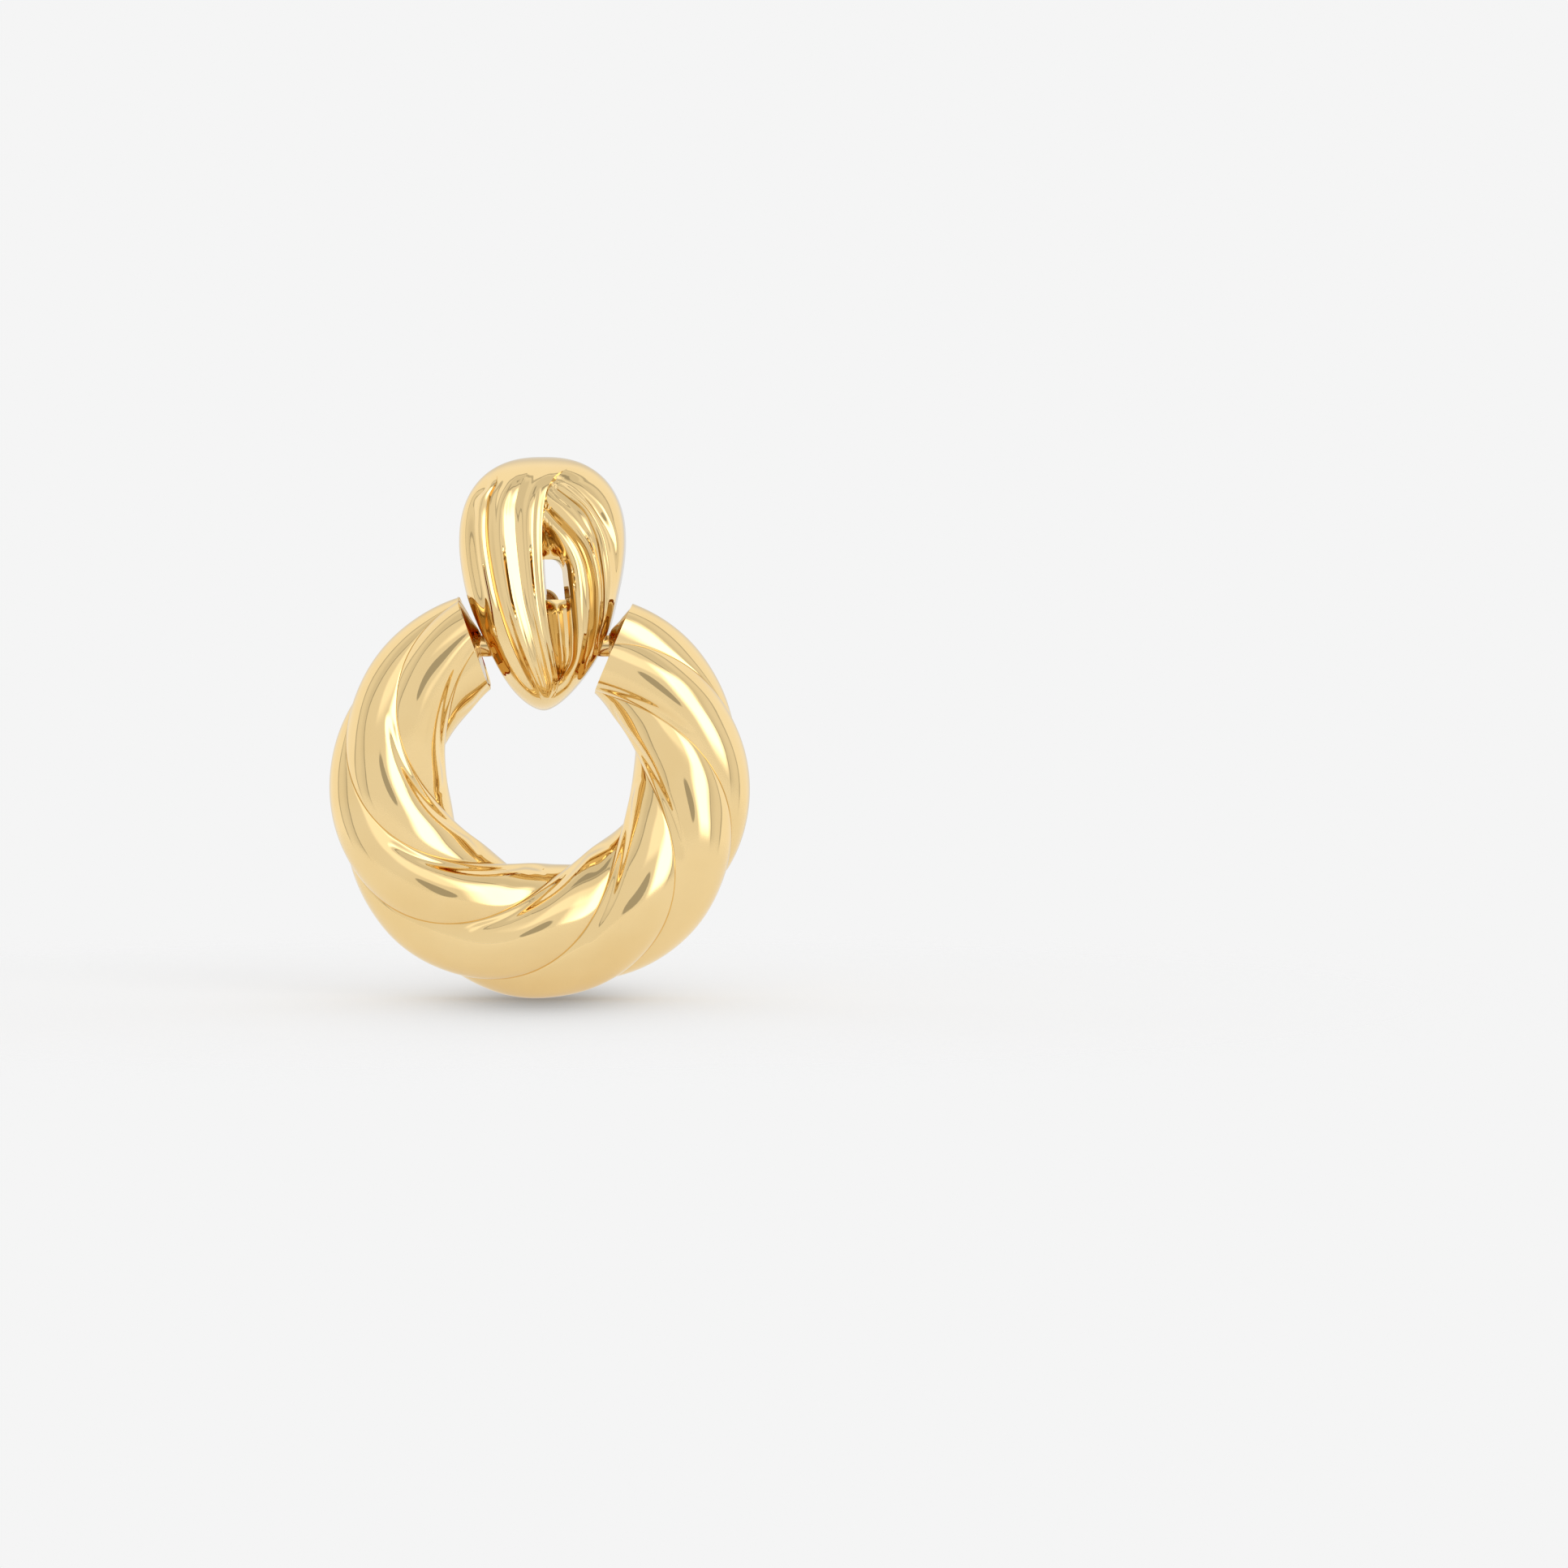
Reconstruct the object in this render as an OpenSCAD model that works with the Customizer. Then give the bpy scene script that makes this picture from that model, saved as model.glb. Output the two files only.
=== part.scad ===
// Doorknocker earring: a wrapped teardrop stud and a twisted ring that swings below it.
// Millimetres. The origin is where the ear post leaves its pad, on the middle line of the stud.
// X points to the viewer's right, Y to the back (the ear), Z up.

/* [Stud] */
// Width of the stud
stud_w = 11.6; // [10:0.1:13]
// Height of the stud's top above the ear post
stud_rise = 10.4; // [9.8:0.1:11]
// Depth of the stud's tip below the ear post
stud_drop = 7.5; // [7.2:0.1:8]
// Height of the stud's widest line above the ear post
stud_wide_z = 4.3; // [4:0.1:4.6]
// Depth of the stud from front to back
stud_d = 7.0; // [6.6:0.1:7.6]
// Sideways thickness of the shell
shell_side = 0.8; // [0.6:0.1:1]
// Front thickness of the shell, grooves included
shell_front = 0.9; // [0.8:0.05:1.1]

/* [Folds] */
// Depth of the grooves between the folds
fold_groove = 0.3; // [0.1:0.05:0.35]
// Height of the left lobe's edge above the right lobe
lobe_step = 0.5; // [0.3:0.05:0.6]
// Depth of the recess between the lobes, below the left lobe
recess_d = 1.2; // [0.9:0.1:1.4]
// Top of the see-through slot above the ear post
slot_top = 3.15; // [2.8:0.05:3.4]
// Bottom of the see-through slot above the ear post
slot_bottom = 0.35; // [0.3:0.05:0.8]

/* [Ring] */
// Radius of the tube's middle line at the sides of the ring
ring_r = 10.6; // [10.4:0.1:11]
// Growth of that radius towards the top, and its loss towards the bottom
ring_shift = 0.4; // [0.2:0.1:0.5]
// Radius of the tube at the sides, over the strands
tube_r = 4.2; // [3.9:0.1:4.3]
// Growth of the tube's radius towards the bottom, and its loss towards the top
tube_taper = 0.57; // [0.3:0.01:0.7]
// Number of strands in the twist
strands = 4; // [3:1:6]
// Full turns that each strand makes in one round of the ring
turns = 2; // [1:1:3]
// Radius in the grooves as a share of the radius over the strands
groove_share = 0.85; // [0.8:0.01:0.95]
// Depth of the ring's centre below the ear post
ring_drop = 12.7; // [12.6:0.1:12.9]
// Sideways place of the ring's centre
ring_x = -0.2; // [-0.3:0.1:0.3]
// Angle at which the ring's left end stops, counted from the viewer's right
left_end = 114.4; // [113:0.2:118]
// Angle at which the ring's right end stops
right_end = 61.6; // [58:0.2:63]

/* [Hinge] */
// Depth of the hinge axis below the ear post
hinge_drop = 2.9; // [2.8:0.1:3]
// Distance of the hinge axis in front of the stud's back
hinge_front = 3.0; // [2.8:0.1:3.1]
// Radius of the hinge pin
pin_r = 0.75; // [0.6:0.05:0.75]
// Radial play of the pin in the hinge tube
pin_play = 0.05; // [0.03:0.01:0.08]
// Outer radius of the hinge tube
hinge_tube_r = 1.2; // [1.1:0.05:1.3]

/* [Ear post] */
// Radius of the ear post
post_r = 0.4; // [0.35:0.05:0.5]
// Free length of the ear post behind its pad
post_len = 10; // [8:0.5:12]
// Radius of the pad
pad_r = 1.1; // [1:0.05:1.15]
// Thickness of the pad
pad_t = 0.5; // [0.4:0.05:0.6]

/* [Hidden] */
gold = "#D9B36C";

// Stud outline: a superellipse above the widest line and a leaf shape below it
stud_a = stud_w / 2;
top_len = stud_rise - stud_wide_z;
tip_len = stud_wide_z + stud_drop;
top_power = 2.35;
leaf_power = 1.66;
leaf_sharp = 0.62;
leaf_lean = 0.2;
lean_at = 0.62;
lean_reach = 0.35;
// Section: a straight wall, then a rounded front. The stud is deepest at deepest_z
wall_share = 0.5;
front_power = 2.4;
deepest_z = 1.5;
depth_power = 2.5;
// Mesh of the shell: rows above the widest line, down to the slot, along the slot and below it
rows_top = 10;
rows_neck = 2;
rows_slot = 8;
rows_tip = 16;
// Columns on each side wall, the left lobe, the slot, its lip and the right lobe
cols_wall = 2;
cols_left = 13;
cols_slot = 3;
cols_lip = 2;
cols_right = 11;

// Lines on the stud, each a list of [height, sideways place]
lobe_edge = [[-7.2, 0.2], [-6.3, 0.8], [-5.4, 1.15], [-4.4, 1.05], [-1.4, 0.55], [0.8, 0.3],
    [3.1, 0.15], [5.9, 0.15], [7.1, 0.25], [8.3, 0.55], [9.1, 1.1], [9.8, 2.3], [10.1, 2.8]];
left_margin = [[-7.2, -0.6], [-5.2, -2.3], [-2.0, -4.0], [1.4, -4.35], [4, -4.55], [7.7, -4.5], [8.8, -3.8]];
left_groove = [[-7.0, 0.1], [-6.0, -0.5], [-4.3, -1.35], [-2.3, -2.2], [0.8, -3.15], [2.6, -3.5],
    [4.3, -3.75], [6.0, -3.8], [7.7, -3.6], [8.8, -3.1]];
mid_groove = [[-6.3, 0.35], [-4.3, -0.05], [-2.0, -0.6], [0.3, -1.15], [2.0, -1.4], [3.7, -1.6],
    [5.4, -1.75], [7.1, -1.75], [8.5, -1.35], [9.8, -0.7]];
slot_edge = [[-6.0, 0.9], [-5.1, 1.5], [-4.0, 2.15], [-2.6, 2.3], [-0.3, 2.2], [1.7, 2.0],
    [3.0, 1.8], [4.2, 1.2], [5.1, 0.65], [6.2, -0.4]];
inner_valley = [[-4.6, 3.05], [-2.9, 3.55], [-1.7, 3.8], [-0.3, 3.85], [1.4, 3.8], [2.9, 3.5],
    [4.2, 2.95], [5.4, 1.95], [6.7, 0.65], [7.6, -0.4]];
outer_line = [[-2.6, 3.95], [-0.9, 4.35], [0.9, 4.45], [3.1, 4.25], [5.3, 3.7], [7.0, 2.6],
    [7.6, 1.8], [8.3, 0.8], [9, -0.4]];
rim_line = [[-2.3, 4.2], [-0.3, 4.9], [1.4, 5.2], [3.7, 5.05], [5.1, 4.65], [6.1, 4.1], [7.6, 2.95],
    [8.3, 2.1], [8.7, 1.25], [9.4, -0.4]];
// How round a fold is between its grooves
fold_round = 0.7;
// Where the lobe's step and the recess fade out
step_top = 9.7;
step_full = 8.6;
step_low = -6.6;
step_run = 1.5;
fold_run = 2.5;
recess_lip = 0.35;
rim_run = 0.15;
// Least width that the right lobe's slope counts with
least_right = 0.5;
// Spacing of the mesh columns beside the lobe's edge and the slot, and the most that they lean to a side
edge_gap = 0.1;
lip_w = 0.25;
least_col = 0.15;
edge_range = [-0.3, 0.5];
slot_range = 0.7;
lip_range = 0.8;
// Arch at the slot's top: its height, and the share of the slot's width that is left there
slot_arch = 1.0;
arch_share = 0.45;
tip_spacing = 1.5;
// How far the shell's inner side keeps the step and the recess away from its outer ones
inner_keep = 0.5;
inner_run = 0.7;
// How the inner side stays short of the tip: the wall there in shell_side, and how late that begins
tip_wall = 1.5;
end_power = 4;

// Sides of round parts, and how much longer than the stud's width the hinge bore is cut
round_sides = 48;
bore_over = 2;
// Ring mesh: steps along the ring and points around the tube
ring_steps = 96;
strand_points = 8;
tube_points = strands * strand_points;
first_groove = 110.1;
strand_round = 0.7;
end_tilt = 5;
tilt_reach = 25;
// End cap of the ring: [share of the tube's radius, share of the way to the boss's end]
cap_rows = [[0.97, 0.08], [0.88, 0.16], [0.72, 0.24], [0.54, 0.36], [0.42, 0.52], [0.32, 0.72]];
boss_wall = 0.13;
boss_gap = 0.12;
pin_seat = 1.4;
bridge_y = [-1.3, -0.5];
bridge_z = [-1.1, 0.3];
pad_rim = 0.25;
pad_dish = 0.15;
post_groove_at = 7.8;
post_groove_d = 0.08;
post_groove_w = 0.3;
post_tip = 0.2;

// General helpers
function clamp(v, lo, hi) = max(lo, min(hi, v));
function smooth(v) = let (c = clamp(v, 0, 1)) c * c * (3 - 2 * c);
function share(v, lo, hi) = smooth((v - lo) / (hi - lo));
function line_x(table, z) = lookup(z, table);

// Heights of the shell's rows, from below the top to above the tip
row_heights = concat(
    [for (i = [1:rows_top]) stud_wide_z + top_len * pow(cos(90 * i / rows_top), 2 / top_power)],
    [for (i = [1:rows_neck]) stud_wide_z - (stud_wide_z - slot_top) * i / rows_neck],
    [for (i = [1:rows_slot]) slot_top - (slot_top - slot_bottom) * i / rows_slot],
    [for (i = [1:rows_tip - 1]) slot_bottom
        - (slot_bottom + stud_drop) * (1 - pow(1 - i / rows_tip, tip_spacing))]);
slot_first = rows_top + rows_neck - 1;
slot_last = slot_first + rows_slot;
row_size = 2 * cols_wall + cols_left + cols_slot + cols_lip + cols_right + 2;
slot_col = cols_wall + cols_left + 1;

// Stud outline by height
function half_w(z) = z >= stud_wide_z
    ? stud_a * pow(1 - pow((z - stud_wide_z) / top_len, top_power), 1 / top_power)
    : stud_a * pow(1 - pow(leaf_t(z), leaf_power), leaf_sharp);
function leaf_t(z) = clamp((stud_wide_z - z) / tip_len, 0, 1);
function mid_x(z) = leaf_lean * (1 + cos(180 * clamp((leaf_t(z) - lean_at) / lean_reach, -1, 1))) / 2;
function depth(z) = let (reach = z > deepest_z ? stud_rise - deepest_z : deepest_z + stud_drop,
        t = abs(z - deepest_z) / reach)
    stud_d * pow(max(0, 1 - pow(t, depth_power)), 1 / depth_power);
function front_y(rho, z, d) = -d * (wall_share
    + (1 - wall_share) * pow(max(0, 1 - pow(abs(rho), front_power)), 1 / front_power));

// Relief: how far the surface lies behind the smooth front
function step_amount(z) = lobe_step * (1 - share(z, step_full, step_top)) * tip_fade(z, step_run);
function tip_fade(z, run) = share(z, step_low, step_low + run);
function recess(x, z, keep) = let (edge = line_x(slot_edge, z) + keep, wide = edge - line_x(lobe_edge, z))
    (recess_d - step_amount(z)) * smooth((edge - x) / recess_lip) * smooth(wide / recess_lip)
    * tip_fade(z, step_run);
function fold(x, a, b) = (x <= a || x >= b) ? 0
    : 1 - pow(max(0, sin(180 * (x - a) / (b - a))), fold_round);
function fold_fade(z) = tip_fade(z, fold_run) * (1 - share(z, step_full, step_top));
function left_folds(x, z) = let (m = line_x(left_margin, z), g = line_x(left_groove, z),
        h = line_x(mid_groove, z), e = line_x(lobe_edge, z))
    fold_groove * fold_fade(z) * (x < m ? 0 : x < g ? fold(x, 2 * m - g, g) * share(x, m, g)
        : x < h ? fold(x, g, h) : fold(x, h, e));
function right_folds(x, z) = let (s = line_x(slot_edge, z), v = line_x(inner_valley, z),
        o = line_x(outer_line, z), r = line_x(rim_line, z))
    fold_groove * fold_fade(z) * (x > r ? 0 : x > o ? fold(x, o, r)
        : x > v ? fold(x, v, o) : x > s ? fold(x, s, v) : 0);
function right_base(x, z) = let (e = line_x(lobe_edge, z), r = mid_x(z) + half_w(z))
    step_amount(z) * (1 - share(x, e, max(r, e + least_right)));
function outer_relief(x, z, left) = left ? left_folds(x, z)
    : right_base(x, z) + recess(x, z, 0) + right_folds(x, z);
function inner_relief(x, z) = let (e = line_x(lobe_edge, z), b = max(x, e))
    (right_base(b, z) + recess(b, z, inner_keep)) * smooth((x - e + inner_keep + inner_run) / inner_run);
function rim_fade(rho) = smooth((1 - abs(rho)) / rim_run);

// Sideways places of a row's points on the front, with the lobe's edge and the slot on columns
function row_edge(z) = let (w = half_w(z), m = mid_x(z))
    clamp(line_x(lobe_edge, z), m + edge_range[0] * w, m + edge_range[1] * w);
function slot_right(z) = let (full = line_x(slot_edge, z) - lip_w - row_edge(z) - edge_gap,
        rise = clamp((z - slot_top + slot_arch) / slot_arch, 0, 1))
    row_edge(z) + edge_gap + full * (arch_share + (1 - arch_share) * sqrt(1 - rise * rise));
function row_places(z) = let (w = half_w(z), m = mid_x(z), e = row_edge(z), unit = min(1, w / 2),
        a = e + edge_gap * unit, b = max(a + least_col * unit, min(slot_right(z), m + slot_range * w)),
        c = max(b + least_col * unit, min(line_x(slot_edge, z), m + lip_range * w)), r = m + w)
    concat(
        [for (i = [0:cols_left]) m - w + (e - m + w) * (1 - cos(90 * i / cols_left))],
        [for (i = [0:cols_slot]) a + (b - a) * i / cols_slot],
        [for (i = [1:cols_lip]) b + (c - b) * i / cols_lip],
        [for (i = [1:cols_right]) c + (r - c) * sin(90 * i / cols_right)]);

// Heights on the shell's inner side, which stays short of the outer top and tip
function inner_z(z) = let (up = z > stud_wide_z, len = up ? top_len : tip_len,
        s = abs(z - stud_wide_z) / len, loss = (up ? 1 : tip_wall) * shell_side / len)
    stud_wide_z + (z - stud_wide_z) * (1 - loss * pow(s, end_power));

// One row of the shell, outer or inner: points from the left back edge to the right back edge
function shell_row(z, inner) = let (w = half_w(z), m = mid_x(z), places = row_places(z),
        slim = inner ? 1 - shell_side / stud_a : 1,
        d = depth(z) * (inner ? 1 - shell_front / stud_d : 1),
        zz = inner ? inner_z(z) : z,
        wall = [for (i = [0:cols_wall - 1]) -d * wall_share * i / cols_wall])
    concat(
        [for (y = wall) [m - w * slim, y, zz]],
        [for (i = [0:len(places) - 1]) let (x = places[i], rho = (x - m) / w)
            [m + (x - m) * slim, front_y(rho, z, d) + rim_fade(rho)
                * (inner ? inner_relief(x, z) : outer_relief(x, z, i <= cols_left)), zz]],
        [for (i = [cols_wall - 1:-1:0]) [m + w * slim, wall[i], zz]]);

// A closed shell: outer grid, inner grid, the flat rim at the back and the walls of the slot
function in_slot(i, j) = i >= slot_first && i < slot_last && j >= slot_col && j < slot_col + cols_slot;
module shell_solid() {
    n = len(row_heights);
    k = row_size;
    m = n * k;
    outer = [for (z = row_heights) each shell_row(z, false)];
    inner = [for (z = row_heights) each shell_row(z, true)];
    poles = [[0, 0, stud_rise], [0, 0, -stud_drop],
        [0, 0, inner_z(stud_rise)], [0, 0, inner_z(-stud_drop)]];
    po = 2 * m;
    out_faces = [for (i = [0:n - 2], j = [0:k - 2]) if (!in_slot(i, j))
        each let (a = i * k + j, b = a + 1, c = a + k, d = c + 1) [[a, b, d], [a, d, c]]];
    in_faces = [for (f = out_faces) [f[0] + m, f[2] + m, f[1] + m]];
    last = (n - 1) * k;
    fans = [for (j = [0:k - 2]) each [[po, j + 1, j], [po + 2, m + j, m + j + 1],
        [po + 1, last + j, last + j + 1], [po + 3, m + last + j + 1, m + last + j]]];
    rim = [for (i = [0:n - 2]) each let (a = i * k, b = a + k, c = a + k - 1, d = c + k)
        [[a, b, b + m], [a, b + m, a + m], [c, d + m, d], [c, c + m, d + m]]];
    rim_ends = [[po, 0, m], [po, m, po + 2], [po, m + k - 1, k - 1], [po, po + 2, m + k - 1],
        [po + 1, m + last, last], [po + 1, po + 3, m + last],
        [po + 1, last + k - 1, m + last + k - 1], [po + 1, m + last + k - 1, po + 3]];
    slot_sides = [for (i = [slot_first:slot_last - 1]) each
        let (a = i * k + slot_col, b = a + k, c = a + cols_slot, d = c + k)
        [[a, b + m, b], [a, a + m, b + m], [c, d, d + m], [c, d + m, c + m]]];
    slot_ends = [for (j = [slot_col:slot_col + cols_slot - 1]) each
        let (a = slot_first * k + j, b = a + 1, c = slot_last * k + j, d = c + 1)
        [[a, b, b + m], [a, b + m, a + m], [c, d + m, d], [c, c + m, d + m]]];
    polyhedron(concat(outer, inner, poles),
        concat(out_faces, in_faces, fans, rim, rim_ends, slot_sides, slot_ends));
}

// Everything on the hinge axis is turned about X
module along_hinge() {
    translate([0, -hinge_front, -hinge_drop]) rotate([0, 90, 0]) children();
}

// What is soldered inside the shell ends halfway through its side walls
module inside_walls() {
    slim = 1 - shell_side / 2 / stud_a;
    zs = [for (i = [rows_top - 1:len(row_heights) - 1]) row_heights[i]];
    outline = concat([for (z = zs) [mid_x(z) - half_w(z) * slim, z]],
        [for (i = [len(zs) - 1:-1:0]) [mid_x(zs[i]) + half_w(zs[i]) * slim, zs[i]]]);
    intersection() {
        children();
        rotate([90, 0, 0]) linear_extrude(height = stud_d) polygon(outline);
    }
}

module stud_shell() {
    color(gold) difference() {
        union() {
            shell_solid();
            inside_walls() along_hinge()
                cylinder(r = hinge_tube_r, h = stud_w, center = true, $fn = round_sides);
            inside_walls() translate([-stud_a, bridge_y[0], bridge_z[0]])
                cube([stud_w, bridge_y[1] - bridge_y[0], bridge_z[1] - bridge_z[0]]);
        }
        along_hinge()
            cylinder(r = pin_r + pin_play, h = stud_w + bore_over, center = true, $fn = round_sides);
    }
}

// Ear post with its dished pad, turned about the post's axis
module ear_post() {
    groove_mid = post_groove_at + post_groove_w / 2;
    profile = [[0, -pad_t + pad_dish], [pad_r - pad_rim, -pad_t + pad_dish], [pad_r - pad_rim, -pad_t],
        [pad_r, -pad_t], [pad_r, 0], [post_r, 0], [post_r, post_groove_at],
        [post_r - post_groove_d, groove_mid], [post_r, post_groove_at + post_groove_w],
        [post_r, post_len - post_tip], [post_r - post_tip, post_len], [0, post_len]];
    color(gold) rotate([-90, 0, 0]) rotate_extrude($fn = round_sides) polygon(profile);
}

// Ring: middle line, tube radius and strand relief by the angle round the ring
function middle_r(a) = ring_r + ring_shift * sin(a);
function crest_r(a) = tube_r - tube_taper * sin(a);
function strand_shape(s) = groove_share + (1 - groove_share) * pow(max(0, sin(180 * s)), strand_round);
function end_fade(to_end) = 1 - smooth(to_end / tilt_reach);
function end_tilt_at(a) = end_tilt * (end_fade(right_end - a) - end_fade(a - left_end + 360));
function tube_point(a, j, shrink = 1) = let (s = (j % strand_points) / strand_points,
        turn = turns * (a - first_groove) + 360 * j / tube_points,
        r = crest_r(a) * strand_shape(s) * shrink,
        out = middle_r(a) + r * cos(turn), b = a + end_tilt_at(a) * r * cos(turn) / out)
    [ring_x + out * cos(b), -hinge_front - r * sin(turn), -ring_drop + out * sin(b)];
// Boss: where it ends beside the stud, and its rows from the tube's end face to that flat end
function stud_side(way) = mid_x(-hinge_drop) + way * half_w(pin_r - hinge_drop);
function boss_end(way) = stud_side(way) + way * boss_gap;
boss_r = pin_r + boss_wall;
function end_middle(a) = tube_point(a, 0, 0);
function hinge_circle(x, r, turn) = [x, -hinge_front - r * sin(turn), -hinge_drop + r * cos(turn)];
function cap_point(a, way, k, j) = let (row = cap_rows[k], middle = end_middle(a),
        out = row[1] * (boss_end(way) - middle[0]), turn = turns * (a - first_groove) + 360 * j / tube_points,
        flat = tube_point(a, j, row[0]) + [out, 0, -way * out * tan(90 - a)],
        round = hinge_circle(middle[0] + out, row[0] * crest_r(a), turn), w = (k + 1) / (len(cap_rows) + 1))
    (1 - w) * flat + w * round;
function end_circle(a, way, j) = hinge_circle(boss_end(way), boss_r,
    turns * (a - first_groove) + 360 * j / tube_points);

module tube_solid() {
    from = right_end;
    to = left_end - 360;
    k = tube_points;
    c = len(cap_rows);
    right_cap = [for (i = [c - 1:-1:0], j = [0:k - 1]) cap_point(from, 1, i, j)];
    body = [for (i = [0:ring_steps], j = [0:k - 1]) tube_point(from + (to - from) * i / ring_steps, j)];
    left_cap = [for (i = [0:c - 1], j = [0:k - 1]) cap_point(to, -1, i, j)];
    points = concat([for (j = [0:k - 1]) end_circle(from, 1, j)], right_cap, body, left_cap,
        [for (j = [0:k - 1]) end_circle(to, -1, j)]);
    rows = len(points) / k;
    walls = [for (i = [0:rows - 2], j = [0:k - 1]) each let (n = (j + 1) % k,
        a = i * k + j, b = i * k + n, c = a + k, d = b + k) [[a, b, d], [a, d, c]]];
    ends = [[for (j = [k - 1:-1:0]) j], [for (j = [0:k - 1]) (rows - 1) * k + j]];
    polyhedron(points, concat(walls, ends));
}

module twisted_ring() {
    color(gold) difference() {
        tube_solid();
        pin_body();
    }
}

// The pin reaches pin_seat deep into each end of the ring
module pin_body() {
    left = boss_end(-1) - pin_seat;
    right = boss_end(1) + pin_seat;
    translate([left, 0, 0]) along_hinge() cylinder(r = pin_r, h = right - left, $fn = round_sides);
}

module hinge_pin() {
    color(gold) pin_body();
}

stud_shell();
ear_post();
hinge_pin();
twisted_ring();
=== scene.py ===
"""A polished gold doorknocker earring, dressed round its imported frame, for Blender 4.5.

Sizes are in millimetres in the classes below and become metres where a mesh is made.
X points to the viewer's right, Y to the ear and Z up. The origin is where the ear post
leaves its pad, on the middle line of the stud.
"""
import logging
import math
from dataclasses import dataclass, field
from enum import Enum
from typing import Callable, Sequence, Union

import bpy
import numpy as np
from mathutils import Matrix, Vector


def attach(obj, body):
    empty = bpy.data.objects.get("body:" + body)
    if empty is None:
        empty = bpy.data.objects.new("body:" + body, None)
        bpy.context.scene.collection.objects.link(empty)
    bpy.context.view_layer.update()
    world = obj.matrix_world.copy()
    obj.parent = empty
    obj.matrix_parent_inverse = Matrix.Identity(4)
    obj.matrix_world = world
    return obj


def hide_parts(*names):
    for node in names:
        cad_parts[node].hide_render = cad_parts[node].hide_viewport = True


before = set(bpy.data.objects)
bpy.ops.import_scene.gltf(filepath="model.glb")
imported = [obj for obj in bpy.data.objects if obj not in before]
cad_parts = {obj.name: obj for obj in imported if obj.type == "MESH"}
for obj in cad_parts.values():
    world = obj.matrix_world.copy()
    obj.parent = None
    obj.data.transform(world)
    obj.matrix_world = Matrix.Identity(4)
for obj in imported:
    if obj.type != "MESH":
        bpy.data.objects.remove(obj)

MM = 0.001
TINY = 1e-6
TURN = 2 * math.pi
DEGREES = 180 / math.pi
SHARP_ANGLE = math.radians(38)
ARC_POINTS = 6
LOG = logging.getLogger("earring")
Number = Union[float, int, "Field"]
Input = Union[Number, Sequence[float], bpy.types.NodeSocket]
Line = tuple[tuple[float, float], ...]


class Field:
    """A number inside a node tree, written in plain arithmetic."""

    def __init__(self, tree: bpy.types.NodeTree, socket: bpy.types.NodeSocket) -> None:
        """Keeps the tree and the socket that holds the number."""
        self.tree = tree
        self.socket = socket

    @staticmethod
    def node(tree: bpy.types.NodeTree, operation: str, *values: Number) -> "Field":
        """Adds one Math node.

        Args:
            tree: The tree it goes into.
            operation: Blender's name of the sum.
            values: Fields or plain numbers, in the node's order.

        Returns:
            The node's result.
        """
        made = add(tree, "ShaderNodeMath", dict(enumerate(values)))
        made.operation = operation
        return Field(tree, made.outputs[0])

    @staticmethod
    def noise(tree: bpy.types.NodeTree, place: bpy.types.NodeSocket, scale: float, detail: float) -> "Field":
        """Noise over a place, as a number from 0 to 1."""
        made = add(tree, "ShaderNodeTexNoise", {"Vector": place, "Scale": scale, "Detail": detail})
        return Field(tree, made.outputs["Fac"])

    def do(self, operation: str, *others: Number) -> "Field":
        """One Math node whose first value is this field."""
        return Field.node(self.tree, operation, self, *others)

    def __add__(self, other: Number) -> "Field":
        """Sum."""
        return self.do("ADD", other)

    __radd__ = __add__

    def __sub__(self, other: Number) -> "Field":
        """Difference."""
        return self.do("SUBTRACT", other)

    def __rsub__(self, other: Number) -> "Field":
        """Difference from a plain number."""
        return Field.node(self.tree, "SUBTRACT", other, self)

    def __mul__(self, other: Number) -> "Field":
        """Product."""
        return self.do("MULTIPLY", other)

    __rmul__ = __mul__

    def __truediv__(self, other: Number) -> "Field":
        """Quotient."""
        return self.do("DIVIDE", other)

    def __rtruediv__(self, other: Number) -> "Field":
        """Quotient of a plain number."""
        return Field.node(self.tree, "DIVIDE", other, self)

    def sin(self) -> "Field":
        """Sine of an angle in radians."""
        return self.do("SINE")

    def cos(self) -> "Field":
        """Cosine of an angle in radians."""
        return self.do("COSINE")

    def power(self, exponent: Number) -> "Field":
        """This number, at least zero, raised to an exponent."""
        return self.do("MAXIMUM", 0.0).do("POWER", exponent)

    def ramp(self, start: float, end: float) -> "Field":
        """A smooth step from 0 at start to 1 at end."""
        share = (self - start) / (end - start)
        kept = share.do("MAXIMUM", 0.0).do("MINIMUM", 1.0)
        return kept * kept * (3.0 - 2.0 * kept)


def add(tree: bpy.types.NodeTree, kind: str, inputs: dict[int | str, Input] | None = None) -> bpy.types.Node:
    """Adds a node and fills its inputs.

    Args:
        tree: The tree it goes into.
        kind: Blender's name of the node.
        inputs: A field, a socket or a plain value for each input, by its name or number.

    Returns:
        The new node.
    """
    made = tree.nodes.new(kind)
    for name, value in (inputs or {}).items():
        source = value.socket if isinstance(value, Field) else value
        if isinstance(source, bpy.types.NodeSocket):
            tree.links.new(source, made.inputs[name])
        else:
            made.inputs[name].default_value = source
    return made


def combine(tree: bpy.types.NodeTree, x: Number, y: Number, z: Number) -> bpy.types.NodeSocket:
    """A vector socket from three numbers."""
    return add(tree, "ShaderNodeCombineXYZ", {0: x, 1: y, 2: z}).outputs[0]


def split(tree: bpy.types.NodeTree, vector: bpy.types.NodeSocket) -> list[Field]:
    """The x, y and z of a vector socket."""
    return [Field(tree, socket) for socket in add(tree, "ShaderNodeSeparateXYZ", {0: vector}).outputs]


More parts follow.
